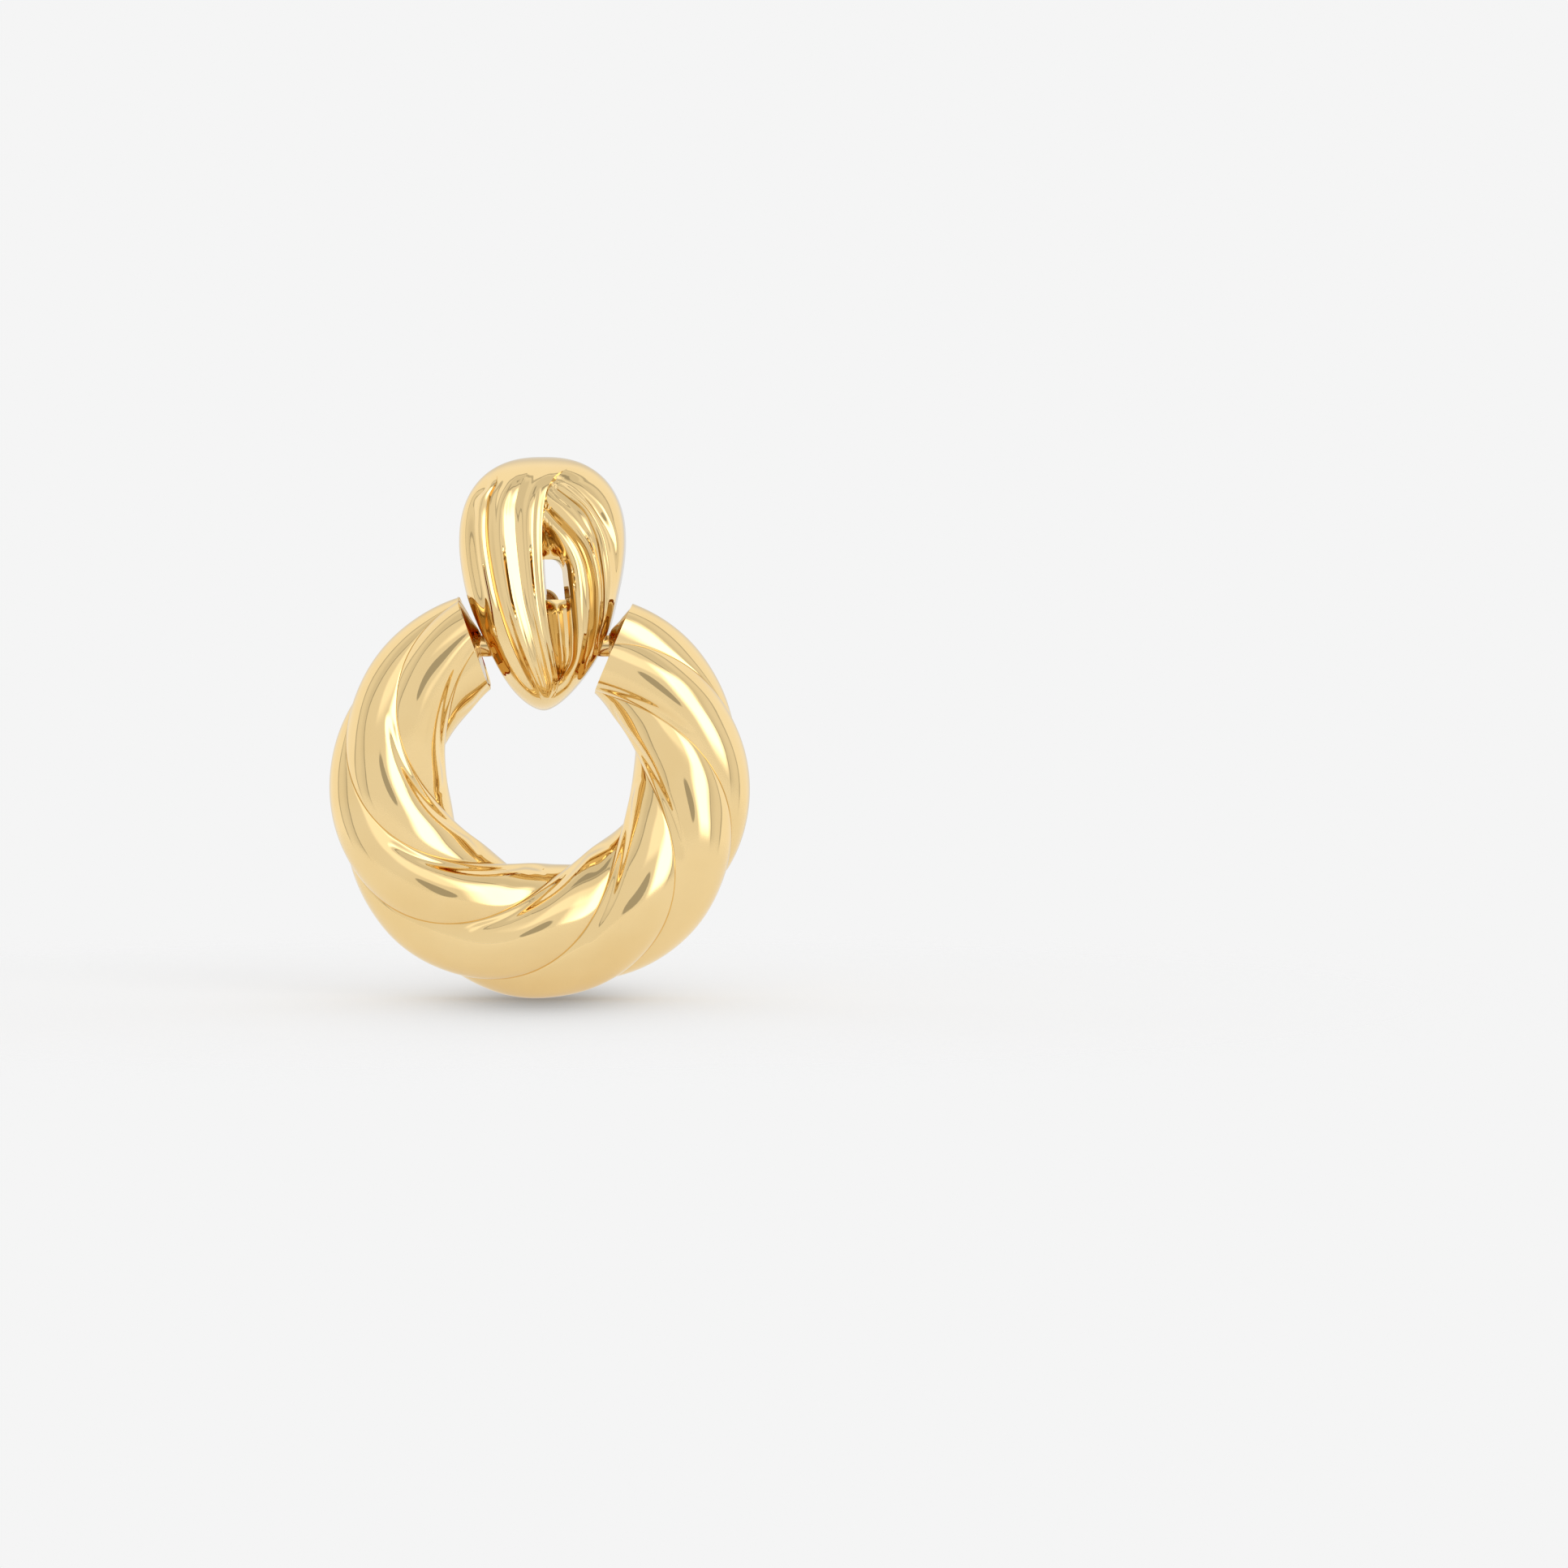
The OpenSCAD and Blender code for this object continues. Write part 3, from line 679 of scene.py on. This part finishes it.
@dataclass
class StudFittings:
    """What is soldered inside the stud: the hinge tube and the bridge that carries the post."""

    shape: StudShape = field(default_factory=StudShape)
    axis_y: float = -3.0
    axis_z: float = -2.9
    tube_r: float = 1.2
    bore_r: float = 0.8
    bridge_y: tuple[float, float] = (-1.3, -0.5)
    bridge_z: tuple[float, float] = (-1.1, 0.3)
    corner: float = 0.25
    corner_steps: int = 7
    steps: int = 24
    sides: int = 64

    def bar(self, name: str, section: np.ndarray, hole: np.ndarray | None) -> bpy.types.Object:
        """Builds a bar that runs from one side wall to the other.

        Args:
            name: The object's name.
            section: Closed outline as rows of y, z, anticlockwise seen from the right.
            hole: The same number of points round a bore, or None.

        Returns:
            The bar, with its ends inside the walls.
        """
        steps = self.steps
        loops = [section] if hole is None else [section, hole]
        points, faces = [], []
        k = len(section)
        for number, loop in enumerate(loops):
            for i in range(steps + 1):
                left, right = self.shape.wall_x(loop[:, 1], -1), self.shape.wall_x(loop[:, 1], 1)
                points.append(np.column_stack([left + (right - left) * i / steps, loop]))
            base = number * (steps + 1) * k
            for i in range(steps):
                for j in range(k):
                    a, b = base + i * k + j, base + i * k + (j + 1) % k
                    face = (a, b, b + k, a + k)
                    faces.append(face if number == 0 else face[::-1])
        far = steps * k
        if hole is None:
            faces += [tuple(range(k))[::-1], tuple(range(far, far + k))]
        else:
            inner = (steps + 1) * k
            for j in range(k):
                b = (j + 1) % k
                faces += [(j, inner + j, inner + b, b), (far + j, far + b, inner + far + b, inner + far + j)]
        return mesh_object(name, np.concatenate(points), faces)

    def circle(self, radius: float) -> np.ndarray:
        """A circle round the hinge axis, as rows of y, z."""
        t = np.arange(self.sides) / self.sides * TURN
        return np.column_stack([self.axis_y + radius * np.cos(t), self.axis_z + radius * np.sin(t)])

    def rounded_box(self) -> np.ndarray:
        """The bridge's section, a rectangle with round corners."""
        (y0, y1), (z0, z1), r = self.bridge_y, self.bridge_z, self.corner
        out = []
        places = ((y1 - r, z1 - r), (y0 + r, z1 - r), (y0 + r, z0 + r), (y1 - r, z0 + r))
        for quarter, (cy, cz) in enumerate(places):
            t = np.radians(np.linspace(90 * quarter, 90 * quarter + 90, self.corner_steps))
            out.append(np.column_stack([cy + r * np.cos(t), cz + r * np.sin(t)]))
        return np.concatenate(out)

    def build(self) -> list[bpy.types.Object]:
        """Builds the hinge tube and the bridge."""
        tube = self.bar("hinge_tube", self.circle(self.tube_r), self.circle(self.bore_r))
        bridge = self.bar("post_bridge", self.rounded_box(), None)
        return [dress(piece, STUD_GOLD, Body.STUD) for piece in (tube, bridge)]


@dataclass
class EarPost:
    """The straight post and its dished pad."""

    post_r: float = 0.4
    length: float = 10.0
    pad_r: float = 1.1
    pad_t: float = 0.5
    rim: float = 0.25
    dish: float = 0.15
    dish_share: float = 0.6
    groove_at: float = 7.8
    groove_w: float = 0.3
    groove_d: float = 0.08
    groove_share: float = 0.8
    groove_half: float = 0.06
    rings_at: tuple[float, float] = (2.0, 5.0)
    round_r: float = 0.06
    fillet: float = 0.12
    tip_r: float = 0.2
    sides: int = 72

    def profile(self) -> list[tuple[float, float]]:
        """The outline as radius and place along the post, from the pad's front to the tip."""
        r, c = self.round_r, self.pad_r - self.rim
        out = [(0.0, self.dish - self.pad_t), (c * self.dish_share, self.dish - self.pad_t)]
        out += self.arc(c - r, self.dish - self.pad_t - r, r, 90, 0)
        out += self.arc(c + r, r - self.pad_t, r, 180, 270)
        out += self.arc(self.pad_r - r, r - self.pad_t, r, 270, 360)
        out += self.arc(self.pad_r - r, -r, r, 0, 90)
        out += self.arc(self.post_r + self.fillet, self.fillet, self.fillet, 270, 180)
        mid, half = self.groove_at + self.groove_w / 2, self.groove_half
        shoulder = self.post_r - self.groove_d * self.groove_share
        out += [(self.post_r, y) for y in (*self.rings_at, self.groove_at)]
        out += [(shoulder, mid - half), (self.post_r - self.groove_d, mid), (shoulder, mid + half)]
        out += [(self.post_r, self.groove_at + self.groove_w)]
        out += self.arc(self.post_r - self.tip_r, self.length - self.tip_r, self.tip_r, 0, 90)
        return out + [(0.0, self.length)]

    @staticmethod
    def arc(r: float, y: float, size: float, start: float, end: float) -> list[tuple[float, float]]:
        """A quarter round about a centre, from one angle to another in degrees."""
        return [(r + size * math.cos(math.radians(a)), y + size * math.sin(math.radians(a)))
                for a in np.linspace(start, end, ARC_POINTS)]

    def build(self) -> bpy.types.Object:
        """Turns the profile about the post's axis."""
        profile, count = self.profile(), self.sides
        points = [(0.0, profile[0][1], 0.0), (0.0, profile[-1][1], 0.0)]
        rings = profile[1:-1]
        for r, y in rings:
            for i in range(count):
                t = TURN * i / count
                points.append((r * math.cos(t), y, r * math.sin(t)))
        faces: list[tuple[int, ...]] = []
        last = 2 + (len(rings) - 1) * count
        for i in range(count):
            b = (i + 1) % count
            faces += [(0, 2 + i, 2 + b), (1, last + b, last + i)]
            for row in range(len(rings) - 1):
                p, q = 2 + row * count, 2 + (row + 1) * count
                faces.append((p + i, q + i, q + b, p + b))
        made = mesh_object("post_and_pad", np.array(points), faces)
        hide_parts("ear_post")
        return dress(made, POST_GOLD, Body.STUD)


@dataclass
class TwistedRing:
    """The big ring of twisted strands, with a cap and a flared boss at each end.

    The crease and the cap are curves from 0 to 1: across a strand as it goes along, and the
    share of the tube's radius that is left on the way to the boss.
    """

    radius: float = 10.6
    shift: float = 0.4
    tube: float = 4.2
    taper: float = 0.57
    strands: int = 4
    turns: float = 2.0
    groove: float = 0.15
    roundness: float = 0.8
    first_groove: float = 110.1
    right_end: float = 61.6
    left_end: float = 114.4
    centre: tuple[float, float, float] = (-0.2, -3.0, -12.7)
    hinge_z: float = -2.9
    end_tilt: float = 5.0
    tilt_reach: float = 25.0
    inset: float = 0.008
    along: int = 440
    around: int = 176
    cap_steps: int = 36
    crowd: float = 0.55
    merge: float = 0.002
    sharp_degrees: float = 34.0
    shape: StudShape = field(default_factory=StudShape)
    cap_length: float = 0.9
    cap_power: float = 1.6
    bead: float = 0.16
    bead_reach: tuple[float, float, float] = (0.05, 0.06, 0.3)
    boss_r: float = 0.88
    boss_gap: float = 0.12
    boss_wall_z: float = -2.15
    boss_reach: tuple[float, float] = (0.7, 1.0)
    axis_reach: float = 0.95
    streak_depth: float = 0.045
    streak_lane: tuple[float, float, float] = (2.6, 7.3, 0.018)
    crease_depth: float = 0.03
    crease_width: float = 0.11
    crease_reach: tuple[float, float] = (42.0, 122.0)
    crease_ends: tuple[float, float] = (0.08, 0.85)
    crease_rise: float = 0.5
    crease: Line = ((0.0, 0.05), (0.19, 0.12), (0.34, 0.18), (0.53, 0.31), (0.71, 0.45), (0.81, 0.53),
                    (1.0, 1.0))
    cap: Line = ((0.0, 1.0), (0.08, 0.97), (0.16, 0.88), (0.24, 0.72), (0.36, 0.54), (0.52, 0.42),
                 (0.72, 0.32), (1.0, 0.23))
    rule: bpy.types.NodeTree = field(init=False)
    size: dict[str, Field] = field(init=False)

    def sizes(self) -> dict[str, float]:
        """The tree's named inputs and their values in millimetres, degrees or shares."""
        return {
            "Ring radius": self.radius, "Ring shift": self.shift, "Tube radius": self.tube,
            "Tube taper": self.taper, "Strands": float(self.strands), "Turns": self.turns,
            "Groove depth": self.groove, "Roundness": self.roundness, "First groove": self.first_groove,
            "Centre X": self.centre[0], "Centre Y": self.centre[1], "Centre Z": self.centre[2],
            "Hinge Z": self.hinge_z, "End tilt": self.end_tilt, "Boss radius": self.boss_r,
            "Crease depth": self.crease_depth, "Streak depth": self.streak_depth,
        }

    def tree(self) -> bpy.types.NodeTree:
        """Builds the Geometry Nodes tree of the whole ring."""
        tree = self.rule = bpy.data.node_groups.new("twisted_ring_rule", "GeometryNodeTree")
        tree.interface.new_socket("Geometry", in_out="INPUT", socket_type="NodeSocketGeometry")
        tree.interface.new_socket("Geometry", in_out="OUTPUT", socket_type="NodeSocketGeometry")
        for name, value in self.sizes().items():
            socket = tree.interface.new_socket(name, in_out="INPUT", socket_type="NodeSocketFloat")
            socket.default_value = value
        tree.interface.new_socket("Material", in_out="INPUT", socket_type="NodeSocketMaterial")
        entry = add(tree, "NodeGroupInput")
        self.size = {name: Field(tree, entry.outputs[name]) for name in self.sizes()}
        parts = [self.body(), self.end_cap(1), self.end_cap(-1)]
        join = add(tree, "GeometryNodeJoinGeometry")
        for part in reversed(parts):
            tree.links.new(part, join.inputs[0])
        joined = {0: join.outputs[0], "Distance": self.merge * MM}
        merge = add(tree, "GeometryNodeMergeByDistance", joined)
        smooth = add(tree, "GeometryNodeSetShadeSmooth", {0: merge.outputs[0]})
        bend = Field(tree, add(tree, "GeometryNodeInputMeshEdgeAngle").outputs["Unsigned Angle"])
        steep = bend.do("GREATER_THAN", math.radians(self.sharp_degrees))
        edges = {0: smooth.outputs[0], "Selection": steep, "Shade Smooth": False}
        sharp = add(tree, "GeometryNodeSetShadeSmooth", edges)
        sharp.domain = "EDGE"
        real = add(tree, "GeometryNodeRealizeInstances", {0: sharp.outputs[0]})
        painted = {0: real.outputs[0], "Material": entry.outputs["Material"]}
        add(tree, "NodeGroupOutput", {0: add(tree, "GeometryNodeSetMaterial", painted).outputs[0]})
        return tree

    def strip(self, along: int) -> tuple[bpy.types.NodeSocket, Field, Field]:
        """A flat grid, with the shares of the way round the tube and along the ring."""
        sizes = {"Size X": 1.0, "Size Y": 1.0, "Vertices X": self.around + 1, "Vertices Y": along + 1}
        grid = add(self.rule, "GeometryNodeMeshGrid", sizes)
        around, share, _ = split(self.rule, add(self.rule, "GeometryNodeInputPosition").outputs[0])
        return grid.outputs["Mesh"], self.spread(around + 0.5), share + 0.5

    def place(self, mesh: bpy.types.NodeSocket, spot: Sequence[Field]) -> bpy.types.NodeSocket:
        """Moves a grid's points to places in millimetres."""
        position = combine(self.rule, *(value * MM for value in spot))
        return add(self.rule, "GeometryNodeSetPosition", {0: mesh, "Position": position}).outputs[0]

    def spread(self, around: Field) -> Field:
        """Brings the points closer together towards the grooves."""
        phase = around * self.size["Strands"] * TURN
        return around - phase.sin() * self.crowd / TURN / self.size["Strands"]

    def strand(self, angle: Field, around: Field) -> Field:
        """Share of the tube's radius round the strands, with a crease that crosses each one.

        Args:
            angle: Angle round the ring in radians.
            around: Share of the way round the tube.

        Returns:
            Nearly 1 on a strand's crest, and less in the grooves and the crease.
        """
        size = self.size
        phase = around * size["Strands"]
        number, share = phase.do("FLOOR"), phase.do("FRACT")
        bulge = (share * math.pi).sin().power(size["Roundness"])
        groove = (number + 1.0) / size["Strands"] * 360.0 / size["Turns"]
        since = angle * DEGREES - size["First groove"] + groove
        since = since.do("FLOORED_MODULO", 360.0 / size["Turns"])
        low, high = self.crease_reach
        way = ((since - low) / (high - low)).do("MAXIMUM", 0.0).do("MINIMUM", 1.0)
        gap = (1.0 - share - self.curve(way, self.crease)).do("ABSOLUTE")
        begun, ending = self.crease_ends
        notch = (1.0 - gap.ramp(0.0, self.crease_width)) * way.ramp(0.0, begun)
        notch = notch * (1.0 - way.ramp(ending, 1.0))
        across, apart, lengthwise = self.streak_lane
        lane = combine(self.rule, share * across, number * apart, since * lengthwise)
        wave = (Field.noise(self.rule, lane, 1.0, 0.0) - 0.5) * size["Streak depth"] * bulge
        cut = size["Crease depth"] * notch * bulge.ramp(0.0, self.crease_rise)
        return 1.0 - self.inset + wave - cut - size["Groove depth"] * (1.0 - bulge)

    def ends(self) -> tuple[float, float]:
        """Angles of the right end and the left end in radians, on the way round by the bottom."""
        return math.radians(self.right_end), math.radians(self.left_end - 360)

    def tube_r(self, angle: Field) -> Field:
        """Radius of the tube at an angle round the ring."""
        return self.size["Tube radius"] - self.size["Tube taper"] * angle.sin()

    def ring_r(self, angle: Field) -> Field:
        """Radius of the ring's middle line at an angle round it."""
        return self.size["Ring radius"] + self.size["Ring shift"] * angle.sin()

    def twist(self, angle: Field, around: Field) -> Field:
        """Angle round the tube, in radians, of a point that turns with the strands."""
        return self.size["Turns"] * (angle - self.size["First groove"] * math.radians(1)) + around * TURN

    def tube_point(self, angle: Field, around: Field, shrink: Number) -> tuple[Field, Field, Field]:
        """A point of the tube.

        Args:
            angle: Angle round the ring in radians, from the viewer's right.
            around: Share of the way round the tube.
            shrink: Share of the tube's radius.

        Returns:
            Its x, y and z in millimetres.
        """
        size = self.size
        turn = self.twist(angle, around)
        r = self.tube_r(angle) * self.strand(angle, around) * shrink
        out = self.ring_r(angle) + r * turn.cos()
        start, end = self.ends()
        reach = math.radians(self.tilt_reach)
        lean = (start - angle).ramp(reach, 0.0) - (angle - end).ramp(reach, 0.0)
        b = angle + lean * size["End tilt"] * math.radians(1) * r * turn.cos() / out
        y = size["Centre Y"] - r * turn.sin()
        return size["Centre X"] + out * b.cos(), y, size["Centre Z"] + out * b.sin()

    def body(self) -> bpy.types.NodeSocket:
        """The twisted tube between its two end faces."""
        mesh, around, share = self.strip(self.along)
        start, end = self.ends()
        return self.place(mesh, self.tube_point(share * (end - start) + start, around, 1.0))

    def curve(self, value: Field, points: Line) -> Field:
        """A smooth curve through a few points from 0 to 1."""
        node = add(self.rule, "ShaderNodeFloatCurve", {"Value": value})
        curve = node.mapping.curves[0]
        curve.points[0].location, curve.points[-1].location = points[0], points[-1]
        for point in points[1:-1]:
            curve.points.new(*point)
        node.mapping.update()
        return Field(self.rule, node.outputs[0])

    def end_cap(self, way: int) -> bpy.types.NodeSocket:
        """One end's cap and its flared boss on the hinge axis.

        Args:
            way: 1 for the right end, -1 for the left one.

        Returns:
            The cap's mesh, closed at the boss.
        """
        size = self.size
        mesh, around, share = self.strip(self.cap_steps)
        if way == 1:
            mesh = add(self.rule, "GeometryNodeFlipFaces", {0: mesh}).outputs[0]
        end = self.ends()[0 if way == 1 else 1]
        angle = Field.node(self.rule, "ADD", end, 0.0)
        wall = self.shape.middle(np.array(self.hinge_z)) + way * self.shape.half(np.array(self.boss_wall_z))
        stop = float(wall) + way * self.boss_gap
        reach = (share / self.cap_length).do("MINIMUM", 1.0).power(self.cap_power)
        narrow = self.curve(reach, self.cap)
        middle = size["Centre X"] + self.ring_r(angle) * angle.cos()
        risen, crown, gone = self.bead_reach
        bead = self.bead * way * reach.ramp(0.0, risen) * (1.0 - reach.ramp(crown, gone))
        travel = reach * (stop - middle) + bead
        turn = self.twist(angle, around)
        x, y, z = self.tube_point(angle, around, narrow)
        flat = (x + travel, y, z - travel * (way / math.tan(end)))
        closing = ((1.0 - share) / (1.0 - self.cap_length)).do("MINIMUM", 1.0)
        end_share = reach.ramp(*self.boss_reach)
        r = (narrow * self.tube_r(angle) * (1.0 - end_share) + size["Boss radius"] * end_share) * closing
        curved = (middle + travel, size["Centre Y"] - r * turn.sin(), size["Hinge Z"] + r * turn.cos())
        blend = reach.ramp(0.0, self.axis_reach)
        return self.place(mesh, [f * (1.0 - blend) + c * blend for f, c in zip(flat, curved)])

    def build(self) -> bpy.types.Object:
        """Runs the tree once and keeps the plain mesh.

        Returns:
            The ring, riding on the drop.
        """
        tree = self.tree()
        holder = bpy.data.objects.new("ring_holder", bpy.data.meshes.new("ring_holder"))
        bpy.context.scene.collection.objects.link(holder)
        modifier = holder.modifiers.new("rule", "NODES")
        modifier.node_group = tree
        sockets = {i.name: i.identifier for i in tree.interface.items_tree if i.in_out == "INPUT"}
        for name, value in self.sizes().items():
            modifier[sockets[name]] = value
        modifier[sockets["Material"]] = RING_GOLD.ready()
        ready = holder.evaluated_get(bpy.context.evaluated_depsgraph_get())
        mesh = bpy.data.meshes.new_from_object(ready)
        bpy.data.objects.remove(holder)
        made = bpy.data.objects.new("ring_twist", mesh)
        bpy.context.scene.collection.objects.link(made)
        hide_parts("twisted_ring")
        return dress(made, RING_GOLD, Body.DROP)


@dataclass
class Studio:
    """Camera, light tent and floor, which aren't part of the earring.

    A band of the tent is its middle, its half width and its soft edge in degrees, after how
    much it darkens or lights. A shadow is how much it darkens and its reach in X and Y.
    """

    photo_px: float = 1932.0
    px: float = 0.057
    origin_px: tuple[float, float] = (668.5, 745.0)
    lens: float = 135.0
    sensor: float = 36.0
    clip: tuple[float, float] = (0.01, 20.0)
    level: float = 2.0
    plane_y: float = -3.0
    backdrop: float = 0.913
    bounces: int = 10
    front_light: float = 0.84
    side_light: float = 0.14
    side_reach: tuple[float, float] = (60.0, 80.0)
    back_dark: float = 0.24
    back_reach: tuple[float, float] = (135.0, 176.0)
    back_rise: tuple[float, float, float] = (0.0, 25.0, 30.0)
    seams: tuple[tuple[float, ...], ...] = (
        (0.45, 61.0, 0.8, 1.6), (0.4, 94.0, 1.2, 2.0), (0.16, 78.0, 13.0, 5.0))
    lens_dark: float = 0.5
    lens_rise: float = 3.0
    lens_band: tuple[float, float, float] = (0.0, 9.0, 1.5)
    gap_dark: float = 0.45
    gap_bands: tuple[tuple[float, ...], ...] = ((-5.0, 14.0, 4.0), (70.0, 5.0, 3.0))
    box_light: float = 1.6
    box_bands: tuple[tuple[float, ...], ...] = ((38.0, 9.0, 16.0), (16.0, 18.0, 16.0))
    glow_light: float = 0.3
    glow_bands: tuple[tuple[float, ...], ...] = ((4.0, 18.0, 10.0), (34.0, 8.0, 8.0))
    nook_loss: float = 0.7
    nook_reach: tuple[float, float] = (1.0, 4.0)
    floor_x: float = -0.2
    floor_z: float = -27.73
    floor_r: float = 90.0
    floor_sides: int = 96
    floor_edge: tuple[float, float] = (45.0, 85.0)
    floor_grey: float = 0.5
    floor_glow: float = 0.45
    shadows: tuple[tuple[float, ...], ...] = ((0.42, 5.5, 13.0), (0.13, 10.5, 26.0))

    def camera(self) -> bpy.types.Object:
        """Makes the camera at the photograph's angle and sets it as the scene's."""
        data = bpy.data.cameras.new("camera")
        data.lens, data.sensor_width = self.lens, self.sensor
        data.clip_start, data.clip_end = self.clip
        made = bpy.data.objects.new("camera", data)
        bpy.context.scene.collection.objects.link(made)
        half = self.photo_px / 2
        across, up = half - self.origin_px[0], self.origin_px[1] - half
        aim = Vector((across * self.px, self.plane_y, up * self.px)) * MM
        away = self.photo_px * self.px * self.lens / self.sensor * MM
        tilt = math.radians(self.level)
        made.location = aim + away * Vector((0.0, -math.cos(tilt), math.sin(tilt)))
        made.rotation_euler = (math.radians(90.0) - tilt, 0.0, 0.0)
        bpy.context.scene.camera = made
        return made

    def world(self) -> None:
        """Builds the light tent as a world: pale panels, their seams and a soft box."""
        world = bpy.data.worlds.new("light_tent")
        bpy.context.scene.world = world
        world.use_nodes = True
        tree = world.node_tree
        light = next(n for n in tree.nodes if n.type == "BACKGROUND")
        x, y, z = split(tree, add(tree, "ShaderNodeTexCoord").outputs["Generated"])
        side = x.do("ARCTAN2", y * -1.0) * DEGREES
        rise = z.do("ARCSINE") * DEGREES
        away = side.do("ABSOLUTE")
        behind = away.ramp(*self.back_reach) * self.band(rise, *self.back_rise)
        total = self.front_light + self.side_light * away.ramp(*self.side_reach) - self.back_dark * behind
        wide = (y * -1.0).do("ARCCOSINE") * DEGREES
        for dark, *place in self.seams:
            total = total * (1.0 - dark * self.band(wide, *place))
        above = rise - self.lens_rise
        lens = self.band((side * side + above * above).do("SQRT"), *self.lens_band)
        gap, box, glow = (self.band(side, *bands[0]) * self.band(rise, *bands[1])
                          for bands in (self.gap_bands, self.box_bands, self.glow_bands))
        total = total * (1.0 - self.gap_dark * gap) * (1.0 - self.lens_dark * lens)
        total = total + self.box_light * box + self.glow_light * glow
        path = add(tree, "ShaderNodeLightPath")
        nook = 1.0 - self.nook_loss * Field(tree, path.outputs["Glossy Depth"]).ramp(*self.nook_reach)
        tree.links.new((total * nook).socket, light.inputs["Color"])
        shown = add(tree, "ShaderNodeBackground", {"Color": (*[self.backdrop] * 3, 1.0)})
        out = next(n for n in tree.nodes if n.type == "OUTPUT_WORLD")
        self.mix(tree, path.outputs["Is Camera Ray"], light, shown, out)

    @staticmethod
    def mix(tree: bpy.types.NodeTree, share: bpy.types.NodeSocket, first: bpy.types.Node,
            second: bpy.types.Node, out: bpy.types.Node) -> None:
        """Sends two shaders, mixed by a share of the second, to an output node."""
        mix = add(tree, "ShaderNodeMixShader", {0: share, 1: first.outputs[0], 2: second.outputs[0]})
        tree.links.new(mix.outputs[0], out.inputs["Surface"])

    @staticmethod
    def band(value: Field, middle: float, half: float, soft: float) -> Field:
        """1 within half of the middle, falling softly to 0 outside."""
        return 1.0 - (value - middle).do("ABSOLUTE").ramp(half, half + soft)

    @staticmethod
    def bell(x: Field, y: Field) -> Field:
        """1 at the middle, falling off like a bell in both directions."""
        return Field.node(x.tree, "POWER", math.e, (x * x + y * y) * -1.0)

    def floor(self) -> bpy.types.Object:
        """A pale round floor that fades into the backdrop, with a soft shadow that only the camera sees."""
        angles = [TURN * i / self.floor_sides for i in range(self.floor_sides)]
        ring = [(self.floor_r * math.cos(a), self.floor_r * math.sin(a) + self.plane_y, self.floor_z)
                for a in angles]
        made = mesh_object("floor", np.array(ring), [tuple(range(self.floor_sides))])
        paint = bpy.data.materials.new("pale_floor")
        paint.use_nodes = True
        tree = paint.node_tree
        out = next(n for n in tree.nodes if n.type == "OUTPUT_MATERIAL")
        tree.nodes.remove(next(n for n in tree.nodes if n.type == "BSDF_PRINCIPLED"))
        place = add(tree, "ShaderNodeTexCoord").outputs["Object"]
        x, y, _ = split(tree, place)
        x, y = x / MM - self.floor_x, y / MM - self.plane_y
        dark = sum(depth * self.bell(x / across, y / back) for depth, across, back in self.shadows)
        light = 1.0 - dark * Field(tree, add(tree, "ShaderNodeLightPath").outputs["Is Camera Ray"])
        grey = combine(tree, *[light * self.floor_grey] * 3)
        matte = add(tree, "ShaderNodeBsdfDiffuse", {"Color": grey})
        glow = add(tree, "ShaderNodeEmission", {"Strength": light * self.floor_glow})
        both = add(tree, "ShaderNodeAddShader", {0: matte.outputs[0], 1: glow.outputs[0]})
        length = add(tree, "ShaderNodeVectorMath", {0: place})
        length.operation = "LENGTH"
        edge = (Field(tree, length.outputs["Value"]) / MM).ramp(*self.floor_edge)
        self.mix(tree, edge.socket, both, add(tree, "ShaderNodeBsdfTransparent"), out)
        made.data.materials.append(paint)
        return made

    def build(self) -> None:
        """Sets up the whole studio."""
        self.camera()
        self.world()
        self.floor()
        bpy.context.scene.view_settings.view_transform = "Standard"
        bpy.context.scene.cycles.glossy_bounces = self.bounces


def main() -> None:
    """Builds the earring's pieces in order."""
    logging.basicConfig(level=logging.INFO, format="%(message)s")
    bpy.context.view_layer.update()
    Studio().build()
    builders: list[Callable[[], object]] = [
        StudShell().build, StudFittings().build, EarPost().build, TwistedRing().build]
    for build in builders:
        made = build()
        for piece in made if isinstance(made, list) else [made]:
            LOG.info("%s: %d faces", piece.name, len(piece.data.polygons))
    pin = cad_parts["hinge_pin"]
    pin.data.materials.clear()
    pin.data.materials.append(PIN_GOLD.ready())
    LOG.info("%s: %d faces", pin.name, len(pin.data.polygons))


if __name__ == "__main__":
    main()
